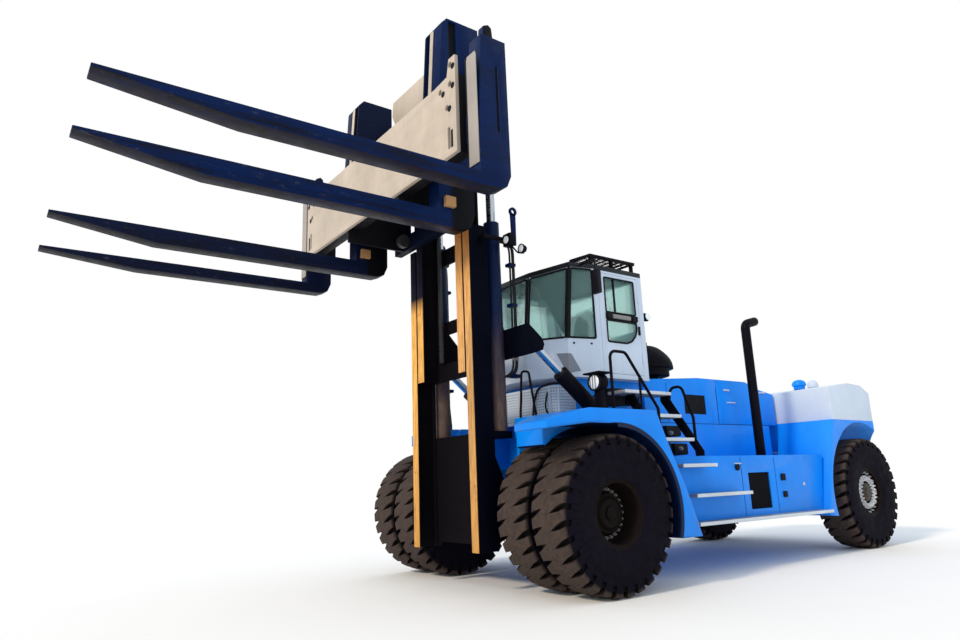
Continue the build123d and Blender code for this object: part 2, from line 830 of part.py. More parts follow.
vent_x = (-3130, -2660)
vent_z = (1990, 2262)
vent_depth = 30
slat_count = 5
slat_thick = 10
slat_inset = 6
with BuildPart() as bonnet_front:
    side_plate(bonnet_profile, (-bonnet_half_y, bonnet_half_y))
    side_plate(bonnet_hollow, (-bonnet_half_y + bonnet_wall, bonnet_half_y - bonnet_wall), mode=Mode.SUBTRACT)
    side_plate(spine_profile, (-lid_hinge_y + lid_gap, lid_hinge_y - lid_gap))
    for side in (1, -1):
        slab(vent_x, (side * (bonnet_half_y - vent_depth), side * (bonnet_half_y + cut_over)), vent_z, mode=Mode.SUBTRACT)
        for index in range(slat_count):
            slat_z = vent_z[0] + (index + 1) * (vent_z[1] - vent_z[0]) / (slat_count + 1)
            slab(vent_x, (side * (bonnet_half_y - vent_depth), side * (bonnet_half_y - slat_inset)), (slat_z - slat_thick / 2, slat_z + slat_thick / 2))
    for side in (1, -1):
        long_bar(side * lid_hinge_y, bonnet_top_z, lid_pin_radius, (lid_pin_reach[0] + run_gap, lid_pin_reach[1] - run_gap))
save(bonnet_front, "bonnet_front")

with BuildPart() as engine_block:
    slab((-4550, -3450), (-400, 400), (frame_low_z + belly_plate, 2250))
save(engine_block, "engine_block")

# Counterweight
weight_front_x = -4670
weight_low_z = tail_top_z
weight_top_z = 1885
arch_rear_radius = 1050
weight_plan = [
    (-4900, -750),
    (-4900, 750),
    (-4970, 1600),
    (-6250, 1560),
    (-6700, 1150),
    (rear_end_x, 700),
    (rear_end_x, -700),
    (-6700, -1150),
    (-6250, -1560),
    (-4970, -1600),
]
with BuildPart() as counterweight:
    plan_plate(weight_plan, (weight_low_z, weight_top_z))
    for side in (1, -1):
        side_plate(
            [(-4510, 540), (-4800, 510), (-5250, weight_low_z), (-5000, weight_top_z), (-4920, weight_top_z)],
            (side * 760, side * 1600),
        )
        cross_bar(rear_wheel_x, axle_z, arch_rear_radius, (side * tail_half_y, side * 1700), mode=Mode.SUBTRACT)
    slab((rear_end_x + 160, tail_rear_x), (-tail_half_y, tail_half_y), (700, weight_low_z + cut_over))
save(counterweight, "counterweight")

cap_outline = [(-4900, weight_top_z), (-4900, 2360), (-5600, 2460), (-6000, 2440), (-6450, 2240), (rear_end_x, 2150), (rear_end_x, weight_top_z)]
with BuildPart() as counterweight_cap:
    plan_plate(weight_plan, (weight_top_z, 2500))
    side_plate(cap_outline, (-1700, 1700), mode=Mode.INTERSECT)
save(counterweight_cap, "counterweight_cap")

# Tow jaw behind the counterweight's foot
jaw_pin_radius = 25
jaw_pin_x = rear_end_x + 60
with BuildPart() as tow_jaw:
    slab((rear_end_x, rear_end_x + 160), (-110, 110), (720, 900))
    slab((rear_end_x - cut_over, rear_end_x + 120), (-110 - cut_over, 110 + cut_over), (770, 850), mode=Mode.SUBTRACT)
    post(jaw_pin_x, 0, jaw_pin_radius, (700, 920), mode=Mode.SUBTRACT)
save(tow_jaw, "tow_jaw")

# Side tanks, with their front end under the stairs
tank_out_y = 1500
tank_low_z = 600
tank_top_z = 1380
tank_front_x = -1205
tank_rear_x = -4520
mesh_x = (-3310, -2840)
mesh_z = (700, 1160)
mesh_depth = 25
with BuildPart() as side_tanks:
    for side in (1, -1):
        side_plate(
            [(tank_front_x, tank_low_z), (tank_front_x, tank_top_z), (tank_rear_x - 180, tank_top_z), (tank_rear_x, tank_low_z)],
            (side * frame_half_y, side * tank_out_y),
        )
        slab(mesh_x, (side * (tank_out_y - mesh_depth), side * (tank_out_y + cut_over)), mesh_z, mode=Mode.SUBTRACT)
save(side_tanks, "side_tanks")

# Treads: (height of the tread, inner y, outer y, front x, rear x)
stair_front_x = -1230
stair_rear_x = -1850
stair_plate = 12
step_thick = 40
tread_table = [
    (2200, 900, 1180, -1000, stair_rear_x - stair_plate),
    (1900, 1080, 1320, stair_front_x, stair_rear_x),
    (1600, 1240, 1480, stair_front_x, stair_rear_x),
    (1285, tank_out_y, 1700, -1300, -1950),
    (940, tank_out_y, 1700, -1500, -2600),
    (620, tank_out_y, 1700, -1500, -4440),
]
with BuildPart() as steps:
    for side in (1, -1):
        for top, inner, outer, front, rear in tread_table:
            slab((front, rear), (side * inner, side * outer), (top - step_thick, top))
save(steps, "steps")

stair_top_z = tread_table[0][0] - step_thick
stringer_top_y = (1000, 1130)
stringer_foot_y = (1510, 1600)
stringer_toe = 60
with BuildPart() as stair_frames:
    for side in (1, -1):
        for plate_x in (stair_rear_x - stair_plate, stair_front_x):
            with BuildSketch(Plane.YZ.offset(plate_x)) as stair_side:
                with BuildLine():
                    Polyline(
                        (side * stringer_top_y[0], stair_top_z),
                        (side * stringer_top_y[1], stair_top_z),
                        (side * stringer_foot_y[1], tank_top_z + stringer_toe),
                        (side * stringer_foot_y[1], tank_top_z),
                        (side * stringer_foot_y[0], tank_top_z),
                        (side * stringer_top_y[0], stair_top_z - stringer_toe),
                        close=True,
                    )
                make_face()
            extrude(stair_side.sketch, amount=stair_plate)
save(stair_frames, "stair_frames")

rail_radius = 18


def tube_run(points, radius=rail_radius, bend=90):
    """A bent tube along a few corner points."""
    with BuildLine() as path:
        FilletPolyline(*points, radius=bend)
    start = path.line @ 0
    heading = path.line % 0
    with BuildSketch(Plane(origin=start, z_dir=heading)) as section:
        Circle(radius)
    sweep(section.sketch, path=path.line)


hoop_foot_z = deck_z + 60
with BuildPart() as handrails:
    for side in (1, -1):
        rail_y = side * 1420
        tube_run([(-540, rail_y, deck_z), (-540, rail_y, 2600), (-800, rail_y, 2600), (-1300, rail_y, 1950), (-1300, rail_y, 1600)])
        rail_x = stair_rear_x - stair_plate - rail_radius
        tube_run([(rail_x, side * 1120, 2060), (rail_x, side * 1150, 2260), (rail_x, side * 1330, 2260), (rail_x, side * 1470, 1850), (rail_x, side * 1470, tank_top_z)])
        hoop = [(325, 800, deck_z), (325, 800, hoop_foot_z), (310, 830, 2390), (230, 860, 2390), (170, 880, hoop_foot_z), (170, 880, deck_z)]
        tube_run([(x, side * y, z) for x, y, z in hoop], radius=14, bend=35)
        post(-1010, rail_y, rail_radius * 0.8, (1860, 2300))
save(handrails, "handrails")

exhaust_x = -3800
exhaust_y = 1100
exhaust_radius = 66
exhaust_top_z = 3310
elbow_reach = 260
elbow_rise = 70
with BuildPart() as exhaust_stack:
    with BuildLine() as stack_path:
        FilletPolyline((exhaust_x, exhaust_y, tank_top_z), (exhaust_x, exhaust_y, exhaust_top_z), (exhaust_x - elbow_reach, exhaust_y, exhaust_top_z + elbow_rise), radius=100)
    with BuildSketch(Plane.XY.offset(tank_top_z)):
        with Locations((exhaust_x, exhaust_y)):
            Circle(exhaust_radius)
    sweep(path=stack_path.line)
save(exhaust_stack, "exhaust_stack")

# Air cleaner: a drum under a wide rain dome, on a foot that follows the slope of the bonnet
cleaner_x = -2250
cleaner_y = 450
cleaner_radius = 390
drum_radius = 330
drum_low_z = 2515
dome_low_z = 2612
dome_top_z = 2960
knob_radius = 60
knob_top_z = 3040
cleaner_foot = 120


def bonnet_line(x):
    """Height of the sloping front part of the bonnet."""
    share = (bonnet_front_x - x) / (bonnet_front_x - bonnet_crest_x)
    return bonnet_brow_z + share * (bonnet_top_z - bonnet_brow_z)


with BuildPart() as air_cleaner:
    with BuildSketch(Plane(origin=(cleaner_x, cleaner_y, 0), x_dir=(1, 0, 0), z_dir=(0, -1, 0))) as dome:
        with BuildLine():
            Polyline((0, knob_top_z), (0, drum_low_z), (drum_radius, drum_low_z), (drum_radius, dome_low_z), (cleaner_radius, dome_low_z))
            Spline(
                (cleaner_radius, dome_low_z),
                (cleaner_radius * 0.72, dome_low_z + (dome_top_z - dome_low_z) * 0.68),
                (knob_radius, dome_top_z),
                tangents=((0, 1), (-1, 0.05)),
            )
            Polyline((knob_radius, dome_top_z), (knob_radius, knob_top_z - knob_radius / 2), (knob_radius / 2, knob_top_z), (0, knob_top_z))
        make_face()
    revolve(dome.sketch, axis=Axis((cleaner_x, cleaner_y, 0), (0, 0, 1)))
    foot_x = (cleaner_x - cleaner_foot, cleaner_x + cleaner_foot)
    foot = [(foot_x[0], bonnet_line(foot_x[0])), (foot_x[1], bonnet_line(foot_x[1])), (foot_x[1], dome_low_z), (foot_x[0], dome_low_z)]
    side_plate(foot, (cleaner_y - cleaner_foot, cleaner_y + cleaner_foot))
save(air_cleaner, "air_cleaner")

lamp_x = -475
lamp_y = 1210
lamp_z = 2255
lamp_radius = 105
lamp_depth = 120
lamp_hood = 130
hood_plate = 20
with BuildPart() as headlamps:
    for side in (1, -1):
        hood_z = lamp_z + lamp_radius - hood_plate / 2
        long_bar(side * lamp_y, lamp_z, lamp_radius, (lamp_x - lamp_depth, lamp_x))
        slab((lamp_x - lamp_depth - 40, lamp_x + 60), (side * (lamp_y - lamp_hood), side * (lamp_y + lamp_hood)), (hood_z, hood_z + hood_plate))
        slab((lamp_x - 110, lamp_x - 30), (side * (lamp_y - 50), side * (lamp_y + 50)), (deck_z, lamp_z - lamp_radius + hood_plate))
save(headlamps, "headlamps")

rear_lamp_y = 860
rear_lamp_z = 3260
rear_lamp_radius = 55
rear_lamp_x = (cab_rear_x - 110, cab_rear_x - 40)
with BuildPart() as rear_lamps:
    for side in (1, -1):
        long_bar(side * rear_lamp_y, rear_lamp_z, rear_lamp_radius, rear_lamp_x)
        long_bar(side * rear_lamp_y, rear_lamp_z, rear_lamp_radius / 4, (rear_lamp_x[1] - 10, cab_rear_x - seat_gap))
save(rear_lamps, "rear_lamps")

mirror_x = -720
mirror_y = 1120
mirror_span = (3385, 3690)
mirror_half_width = 62
mirror_half_depth = 30
mirror_arm = 24


def roof_y(x):
    """The half width of the roof at a place between its second and third corners."""
    (x1, y1), (x2, y2) = cab_roof_ring[1], cab_roof_ring[2]
    return y1 + (x - x1) / (x2 - x1) * (y2 - y1)


with BuildPart() as mirrors:
    arm_x = (mirror_x - mirror_arm / 2, mirror_x + mirror_arm / 2)
    arm_z = (cab_roof_z + mirror_arm / 2, cab_roof_z + mirror_arm * 1.5)
    arm_y = roof_y(arm_x[0]) + seat_gap
    for side in (1, -1):
        slab((mirror_x - mirror_half_depth, mirror_x + mirror_half_depth), (side * (mirror_y - mirror_half_width), side * (mirror_y + mirror_half_width)), mirror_span)
        slab(arm_x, (side * (mirror_y - mirror_arm / 2), side * (mirror_y + mirror_arm / 2)), (mirror_span[1], arm_z[1]))
        slab(arm_x, (side * arm_y, side * (mirror_y + mirror_arm / 2)), arm_z)
save(mirrors, "mirrors")

# Outer mast: the ears of the tilt cylinders reach round behind the lift cylinders
ear_root_x = 325
ear_low_z = tilt_eye_z - 130
ear_top_z = tilt_eye_z + 220
ear_web_y = 440
mast_tie = 40
ear_web = [
    (ear_root_x, ear_low_z),
    (mast_rear_x - mast_tie, ear_low_z),
    (mast_rear_x - mast_tie, 3020),
    (mast_rear_x - mast_tie / 2, 3020),
    (mast_rear_x - mast_tie / 2, 3140),
    (mast_rear_x - 2 * mast_tie, 3140),
    (ear_root_x, ear_top_z),
]
with BuildPart() as outer_mast:
    for side in (1, -1):
        plan_plate(
            [
                (mast_front_x, side * outer_flange_in_y),
                (mast_front_x, side * outer_web_y),
                (mast_rear_x, side * outer_web_y),
                (mast_rear_x, side * outer_flange_in_y),
                (mast_rear_x + rail_plate, side * outer_flange_in_y),
                (mast_rear_x + rail_plate, side * (outer_web_y - rail_plate)),
                (mast_front_x - rail_plate, side * (outer_web_y - rail_plate)),
                (mast_front_x - rail_plate, side * outer_flange_in_y),
            ],
            (outer_low_z, outer_top_z),
        )
        side_plate(
            [(mast_rear_x, 1500), (mast_rear_x, outer_low_z), (mast_pivot_x + 60, 560), (mast_pivot_x - 110, 700), (mast_pivot_x - 60, 900), (mast_rear_x - 60, 1500)],
            (side * 500, side * 560),
        )
        cross_bar(mast_pivot_x, mast_pivot_z, mast_pin_radius + seat_gap, (side * 480, side * 580), mode=Mode.SUBTRACT)
        for ear_y in (tilt_y - tilt_eye_width / 2 - ear_plate - run_gap, tilt_y + tilt_eye_width / 2 + run_gap):
            side_plate(
                [
                    (ear_root_x + ear_base, ear_top_z),
                    (ear_root_x + ear_base, ear_low_z),
                    (ear_root_x, ear_low_z),
                    (tilt_eye_x - 60, tilt_eye_z - 70),
                    (tilt_eye_x - 90, tilt_eye_z),
                    (tilt_eye_x - 60, tilt_eye_z + 70),
                    (ear_root_x, ear_top_z),
                ],
                (side * ear_y, side * (ear_y + ear_plate)),
            )
        ear_end_y = tilt_y + tilt_eye_width / 2 + run_gap + ear_plate
        slab((ear_root_x, ear_root_x + ear_base), (side * ear_web_y, side * ear_end_y), (ear_low_z, ear_top_z))
        side_plate(ear_web, (side * ear_web_y, side * (ear_web_y + ear_plate)))
        slab((lift_x - 110, mast_rear_x), (side * 500, side * (lift_y + lift_barrel_radius)), (1640, lift_low_z))
    slab((mast_rear_x - 40, mast_rear_x), (-outer_flange_in_y - 20, outer_flange_in_y + 20), (480, 1720))
    slab((mast_rear_x - 40, mast_rear_x), (-outer_flange_in_y - 20, outer_flange_in_y + 20), (3920, 4130))
    slab((mast_rear_x - 40, mast_rear_x), (-outer_flange_in_y - 20, outer_flange_in_y + 20), (3000, 3160))
save(outer_mast, "outer_mast")

with BuildPart() as lift_barrels:
    for side in (1, -1):
        post(lift_x, side * lift_y, lift_barrel_radius, (lift_low_z, lift_top_z))
        post(lift_x, side * lift_y, lift_rod_radius + seat_gap, (lift_low_z + 100, lift_top_z + cut_over), mode=Mode.SUBTRACT)
save(lift_barrels, "lift_barrels")

with BuildPart() as mast_lamps:
    for side in (1, -1):
        slab((mast_rear_x - 240, mast_rear_x + 120), (side * 760, side * 790), (3960, 4010))
        slab((mast_rear_x + 40, mast_rear_x + 120), (side * outer_web_y, side * 760), (3960, 4010))
        slab((mast_rear_x - 240, mast_rear_x - 150), (side * 790, side * 920), (3880, 4030))
save(mast_lamps, "mast_lamps")

# Inner mast
roller_radius = (mast_front_x - mast_rear_x - 2 * rail_plate) / 2 - seat_gap
roller_x = (mast_front_x + mast_rear_x) / 2
with BuildPart() as inner_mast:
    for side in (1, -1):
        plan_plate(
            [
                (mast_front_x, side * inner_flange_in_y),
                (mast_front_x, side * inner_flange_out_y),
                (mast_front_x - rail_plate, side * inner_flange_out_y),
                (mast_front_x - rail_plate, side * inner_web_y),
                (mast_rear_x + rail_plate, side * inner_web_y),
                (mast_rear_x + rail_plate, side * inner_flange_out_y),
                (mast_rear_x, side * inner_flange_out_y),
                (mast_rear_x, side * inner_flange_in_y),
                (mast_rear_x + rail_plate, side * inner_flange_in_y),
                (mast_rear_x + rail_plate, side * (inner_web_y - rail_plate)),
                (mast_front_x - rail_plate, side * (inner_web_y - rail_plate)),
                (mast_front_x - rail_plate, side * inner_flange_in_y),
            ],
            (inner_low_z, inner_top_z),
        )
        for roller_z in (inner_low_z + 130, inner_low_z + 1300):
            cross_bar(roller_x, roller_z, roller_radius, (side * (inner_web_y - 10), side * (outer_web_y - rail_plate - 5)))
        slab((lift_x - 70, mast_rear_x + 10), (side * 385, side * 700), (inner_top_z - 60, inner_top_z))
    slab((mast_rear_x - 30 + 40, mast_rear_x + rail_plate), (-inner_flange_in_y, inner_flange_in_y), (inner_low_z, inner_low_z + 220))
    slab((mast_rear_x, mast_rear_x + rail_plate), (-inner_flange_in_y, inner_flange_in_y), (inner_top_z - 200, inner_top_z))
save(inner_mast, "inner_mast")

with BuildPart() as lift_rods:
    for side in (1, -1):
        post(lift_x, side * lift_y, lift_rod_radius, (lift_piston_z, inner_top_z - 60))
save(lift_rods, "lift_rods")

# Carriage
beam_x_pair = (carriage_rear_x + 5, carriage_back_x)
roller_plate_y = (300, 350)
upright_y = (600, 870)
beam_low_span = (4150, 4350)
beam_high_span = (5150, 5300)
shaft_bracket_y = ((640, 680), (1400, 1440))
shaft_bracket_span = (5450, 5750)
shaft_bracket_reach = 100
shaft_end_y = 1440
rib_y = (620, 660)
rib_end_y = (1840, 1890)
rib_end_rear_x = 1430
stiffener_rear_x = 1640
stiffener_spans = ((4320, 4430), (4980, 5090))
carriage_roller_z = (4480, 5800)
carriage_roller_y = inner_web_y - rail_plate - 5
with BuildPart() as carriage_frame:
    for side in (1, -1):
        slab((mast_rear_x + rail_plate + 20, carriage_back_x), [side * y for y in roller_plate_y], (front_plate_low_z, carriage_top_z))
        for roller_z in carriage_roller_z:
            cross_bar(roller_x, roller_z, roller_radius, (side * (roller_plate_y[1] - 5), side * carriage_roller_y))
        slab(beam_x_pair, [side * y for y in upright_y], (beam_low_span[0], carriage_top_z))
        for bracket_y in shaft_bracket_y:
            low = beam_high_span[0] if bracket_y[1] > upright_y[1] else shaft_bracket_span[0]
            slab(
                (beam_x_pair[0], fork_shaft_x + shaft_bracket_reach),
                [side * y for y in bracket_y],
                (low, shaft_bracket_span[1]),
            )
    slab(beam_x_pair, (-upright_y[1], upright_y[1]), beam_low_span)
    slab(beam_x_pair, (-shaft_end_y, shaft_end_y), beam_high_span)
    cross_bar(fork_shaft_x, fork_shaft_z, fork_shaft_radius, (-shaft_end_y, shaft_end_y))
save(carriage_frame, "carriage_frame")

with BuildPart() as carriage_ribs:
    for side in (1, -1):
        slab((carriage_back_x, front_plate_x), [side * y for y in rib_y], (beam_low_span[0], front_plate_top_z))
        slab((rib_end_rear_x, front_plate_x), [side * y for y in rib_end_y], (front_plate_low_z, front_plate_top_z))
    for span in stiffener_spans:
        slab((stiffener_rear_x, front_plate_x), (-rib_end_y[1], rib_end_y[1]), span)
save(carriage_ribs, "carriage_ribs")

plate_lugs = [
    (-1890, 4300),
    (-1560, 4300),
    (1560, 4300),
    (1890, 4300),
    (1890, 5350),
    (1780, 5350),
    (1740, 5170),
    (1510, 5150),
    (-1510, 5150),
    (-1740, 5170),
    (-1780, 5350),
    (-1890, 5350),
]
with BuildPart() as carriage_front_plate:
    with BuildSketch(Plane.YZ.offset(front_plate_x)):
        with BuildLine():
            Polyline(*plate_lugs, close=True)
        make_face()
        for side in (1, -1):
            with Locations((side * 1800, 5280), (side * 1790, 5070), (side * 1610, 5060), (side * 1730, 4830)):
                Circle(32, mode=Mode.SUBTRACT)
            with Locations((side * 1755, 4490)):
                SlotOverall(240, 50, rotation=90, mode=Mode.SUBTRACT)
    extrude(amount=front_plate)
save(carriage_front_plate, "carriage_front_plate")


def blade_outline(shank_front_x, shank_rear_x, shank_top_z, thick, top_cut):
    """Side profile of one fork: tapered blade, heel and shank."""
    top = fork_low_z + thick
    return [
        (fork_tip_x, top),
        (fork_tip_x, top - fork_tip_thick),
        (fork_tip_x - fork_taper, fork_low_z),
        (shank_rear_x + fork_heel, fork_low_z),
        (shank_rear_x + fork_heel / 3, fork_low_z + fork_heel / 4),
        (shank_rear_x, fork_low_z + fork_heel),
        (shank_rear_x, shank_top_z),
        (shank_front_x - top_cut, shank_top_z),
        (shank_front_x, top + fork_heel * 2),
        (shank_front_x, top),
    ]


outer_link_inset = 60
outer_link_span = (4400, 4700)
lug_width = 90
groove_inset = 110
groove_width = 30
groove_depth = 12
groove_span = (4440, 5140)
outer_lug = [
    (outer_shank_rear_x + 100, outer_shank_top_z - 60),
    (outer_shank_rear_x + 120, outer_shank_top_z + 150),
    (outer_shank_rear_x + 160, outer_shank_top_z + 180),
    (outer_shank_rear_x + 220, outer_shank_top_z + 150),
    (outer_shank_rear_x + 240, outer_shank_top_z - 60),
]
with BuildPart() as outer_forks:
    for side in (1, -1):
        side_plate(
            blade_outline(outer_shank_front_x, outer_shank_rear_x, outer_shank_top_z, outer_fork_thick, 60),
            (side * (outer_fork_y - fork_width / 2), side * (outer_fork_y + fork_width / 2)),
        )
        side_plate(outer_lug, (side * (outer_fork_y - lug_width / 2), side * (outer_fork_y + lug_width / 2)))
        slab(
            (outer_shank_rear_x + outer_link_inset, outer_shank_front_x - outer_link_inset),
            (side * front_plate_half_y, side * (outer_fork_y - fork_width / 2)),
            outer_link_span,
        )
        slab(
            (outer_shank_rear_x + groove_inset, outer_shank_rear_x + groove_inset + groove_width),
            (side * (outer_fork_y + fork_width / 2 - groove_depth), side * (outer_fork_y + fork_width / 2 + cut_over)),
            groove_span,
            mode=Mode.SUBTRACT,
        )
save(outer_forks, "outer_forks")


tower_in_y = 870
tower_out_y = 1220
tower_outline = [
    (1040, 5050),
    (1040, 6330),
    (1470, 6330),
    (1540, 6250),
    (1600, 5250),
    (1480, 5050),
]


def inner_fork(side):
    """Blade, shank and the hollow-fronted tower that slides on the shaft."""
    with BuildPart() as fork:
        pair = (side * (inner_fork_y - fork_width / 2), side * (inner_fork_y + fork_width / 2))
        side_plate(blade_outline(inner_shank_front_x, inner_shank_rear_x, inner_shank_top_z, inner_fork_thick, 120), pair)
        side_plate(tower_outline, (side * tower_in_y, side * tower_out_y))
        slab((1480, 1700), (side * 895, side * 985), (5200, 6250), mode=Mode.SUBTRACT)
        slab((1350, 1450), (side * 1190, side * (tower_out_y + cut_over)), (5830, 6300), mode=Mode.SUBTRACT)
        cross_bar(fork_shaft_x, fork_shaft_z, fork_shaft_radius + seat_gap, (side * (tower_in_y - cut_over), side * (tower_out_y + cut_over)), mode=Mode.SUBTRACT)
    return fork


# Tilt cylinders
tilt_run_x = tilt_eye_x - tilt_foot_x
tilt_run_z = tilt_eye_z - tilt_foot_z
tilt_length = math.hypot(tilt_run_x, tilt_run_z)
tilt_barrel_end = tilt_length * 0.62


def tilt_plane(side):
    """A plane at the cylinder's foot, with its x along the rod and its z across the truck."""
    return Plane(origin=(tilt_foot_x, side * tilt_y, tilt_foot_z), x_dir=(tilt_run_x, 0, tilt_run_z), z_dir=(0, -1, 0))


def eye(plane, along, bore, mode=Mode.ADD):
    with BuildSketch(plane.offset(-tilt_eye_width / 2)) as section:
        with Locations((along, 0)):
            Circle(tilt_eye_radius)
            if bore:
                Circle(bore, mode=Mode.SUBTRACT)
    extrude(section.sketch, amount=tilt_eye_width, mode=mode)


def along_rod(plane, radius, start, end, mode=Mode.ADD):
    """A round bar along the cylinder's axis."""
    face = Plane(origin=plane.from_local_coords(Vector(start, 0, 0)), z_dir=plane.x_dir)
    with BuildSketch(face) as section:
        Circle(radius)
    extrude(section.sketch, amount=end - start, mode=mode)


foot_pin_radius = 35
foot_deck_x = (-1150, -660)
foot_deck_out_y = 1080
foot_deck_thick = 40


def tilt_barrel(side):
    plane = tilt_plane(side)
    with BuildPart() as barrel:
        eye(plane, 0, 0)
        along_rod(plane, tilt_eye_width / 2, 0, 120)
        along_rod(plane, tilt_barrel_radius, 100, tilt_barrel_end)
        along_rod(plane, tilt_rod_radius + seat_gap, 160, tilt_barrel_end + cut_over, mode=Mode.SUBTRACT)
        cross_bar(tilt_foot_x, tilt_foot_z, foot_pin_radius + seat_gap, (side * (tilt_y - 100), side * (tilt_y + 100)), mode=Mode.SUBTRACT)
    return barrel


def tilt_rod(side):
    plane = tilt_plane(side)
    with BuildPart() as rod:
        along_rod(plane, tilt_rod_radius, tilt_barrel_end - 180, tilt_length - 40)
        eye(plane, tilt_length, foot_pin_radius)
    return rod


for side, word in ((1, "left"), (-1, "right")):
    save(inner_fork(side), f"inner_fork_{word}")
    save(tilt_barrel(side), f"tilt_barrel_{word}")
    save(tilt_rod(side), f"tilt_rod_{word}")

with BuildPart() as tilt_feet:
    for side in (1, -1):
        slab(foot_deck_x, (side * frame_half_y, side * foot_deck_out_y), (foot_deck_z - foot_deck_thick, foot_deck_z))
        for ear_y in (tilt_y - tilt_eye_width / 2 - ear_plate - seat_gap, tilt_y + tilt_eye_width / 2 + seat_gap):
            side_plate(
                [(tilt_foot_x - 150, foot_deck_z), (tilt_foot_x - 60, tilt_foot_z + 70), (tilt_foot_x + 60, tilt_foot_z + 70), (tilt_foot_x + 140, foot_deck_z)],
                (side * ear_y, side * (ear_y + ear_plate)),
            )
        cross_bar(tilt_foot_x, tilt_foot_z, foot_pin_radius, (side * (tilt_y - 80), side * (tilt_y + 80)))
save(tilt_feet, "tilt_feet")
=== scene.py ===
import json
import math
import bmesh
import bpy
import numpy as np
from mathutils import Matrix, Vector


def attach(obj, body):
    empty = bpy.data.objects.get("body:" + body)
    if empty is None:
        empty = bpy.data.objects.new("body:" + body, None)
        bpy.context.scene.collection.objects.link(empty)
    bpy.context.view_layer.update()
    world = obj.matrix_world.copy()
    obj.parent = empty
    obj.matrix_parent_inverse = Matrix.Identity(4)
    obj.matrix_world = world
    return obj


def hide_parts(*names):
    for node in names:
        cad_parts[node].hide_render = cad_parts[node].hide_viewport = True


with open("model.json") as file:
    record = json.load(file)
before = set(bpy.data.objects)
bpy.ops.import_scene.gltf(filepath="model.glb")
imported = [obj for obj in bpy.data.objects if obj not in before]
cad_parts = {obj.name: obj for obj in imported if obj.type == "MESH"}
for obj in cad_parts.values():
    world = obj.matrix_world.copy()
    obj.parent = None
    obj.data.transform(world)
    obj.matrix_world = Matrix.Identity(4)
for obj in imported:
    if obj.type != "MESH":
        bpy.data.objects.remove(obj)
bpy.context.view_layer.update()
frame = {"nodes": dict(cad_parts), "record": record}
scene = bpy.context.scene
frontAxleX = 0.910  # the row frame's x at the front axle
axleHeight = 0.8075
rearAxleX = -5.75
archRadius = 0.900  # the inner face of the front arch, from the axle
bothSides = ((1, "left"), (-1, "right"))
pole = 0.0001  # the radius that closes a turned profile
print("frame loaded")


def gridFaces(rows, cols, closeRows=False, closeCols=True):
    # a quad between each point of a grid and its next in both directions
    r = np.arange(rows if closeRows else rows - 1)
    c = np.arange(cols if closeCols else cols - 1)
    r, c = np.meshgrid(r, c, indexing="ij")
    nextR, nextC = (r + 1) % rows, (c + 1) % cols
    quads = np.stack([r * cols + c, r * cols + nextC, nextR * cols + nextC, nextR * cols + c], -1)
    return quads.reshape(-1, 4)


def gridPart(points, closeRows=False, closeCols=True, caps=True):
    # points is rows x cols x 3; each open end of the rows gets one cap face
    rows, cols = points.shape[:2]
    faces = [tuple(q) for q in gridFaces(rows, cols, closeRows, closeCols).tolist()]
    if caps and closeCols and not closeRows:
        faces.append(tuple(range(cols - 1, -1, -1)))
        faces.append(tuple(range((rows - 1) * cols, rows * cols)))
    return points.reshape(-1, 3), faces


axisFrames = {
    "x": (np.array([0, 1, 0.0]), np.array([0, 0, 1.0]), np.array([1.0, 0, 0])),
    "y": (np.array([0, 0, 1.0]), np.array([1.0, 0, 0]), np.array([0, 1.0, 0])),
    "z": (np.array([1.0, 0, 0]), np.array([0, 1.0, 0]), np.array([0, 0, 1.0])),
}


def turned(profile, axis, centre, segments):
    # the grid of a profile of (along, radius) points turned about an axis through the centre
    a, b, n = axisFrames[axis]
    profile = np.asarray(profile, float)
    t = np.arange(segments) * 2 * np.pi / segments
    ring = np.cos(t)[:, None] * a + np.sin(t)[:, None] * b
    return profile[:, 0, None, None] * n + profile[:, 1, None, None] * ring[None] + np.asarray(centre, float)


def lathe(profile, axis="y", centre=(0, 0, 0), segments=48):
    # an open profile turned about an axis, closed by a cap at each end
    return gridPart(turned(profile, axis, centre, segments))


def ringLathe(profile, axis="y", centre=(0, 0, 0), segments=48):
    # a closed profile turned about an axis: a ring with a hole
    return gridPart(turned(profile, axis, centre, segments), closeRows=True, caps=False)


def inwardSteps(before, after):
    # the step at each corner that moves both edges in by 1: the sum of their inward normals over 1 + their product
    return (before + after) / np.maximum(1 + np.sum(before * after, 1), 0.3)[:, None]


def prism(outline, low, high, axis="z", soften=0.004, steps=2):
    # a closed outline carried from low to high along an axis, drawn in by soften at both ends on a quarter circle
    a, b, n = axisFrames[axis]
    o = np.asarray(outline, float)
    area = np.sum(o[:, 0] * np.roll(o[:, 1], -1) - np.roll(o[:, 0], -1) * o[:, 1])
    if area < 0:
        o = o[::-1]
    before = o - np.roll(o, 1, 0)
    after = np.roll(o, -1, 0) - o
    before /= np.linalg.norm(before, axis=1)[:, None]
    after /= np.linalg.norm(after, axis=1)[:, None]
    inward = inwardSteps(np.stack([-before[:, 1], before[:, 0]], 1), np.stack([-after[:, 1], after[:, 0]], 1))
    q = np.linspace(0, np.pi / 2, steps + 1)
    drawIn = soften * (1 - np.sin(q))
    rise = soften * (1 - np.cos(q))
    inset = np.concatenate([drawIn, drawIn[::-1]])
    height = np.concatenate([low + rise, high - rise[::-1]])
    flat = o[None] + inset[:, None, None] * inward[None]
    points = flat[..., :1] * a + flat[..., 1:] * b + height[:, None, None] * n
    return gridPart(points)


def block(low, high, soften=0.004):
    # a softened box between two corners
    (x0, y0, z0), (x1, y1, z1) = low, high
    return prism([(x0, y0), (x1, y0), (x1, y1), (x0, y1)], z0, z1, "z", soften)


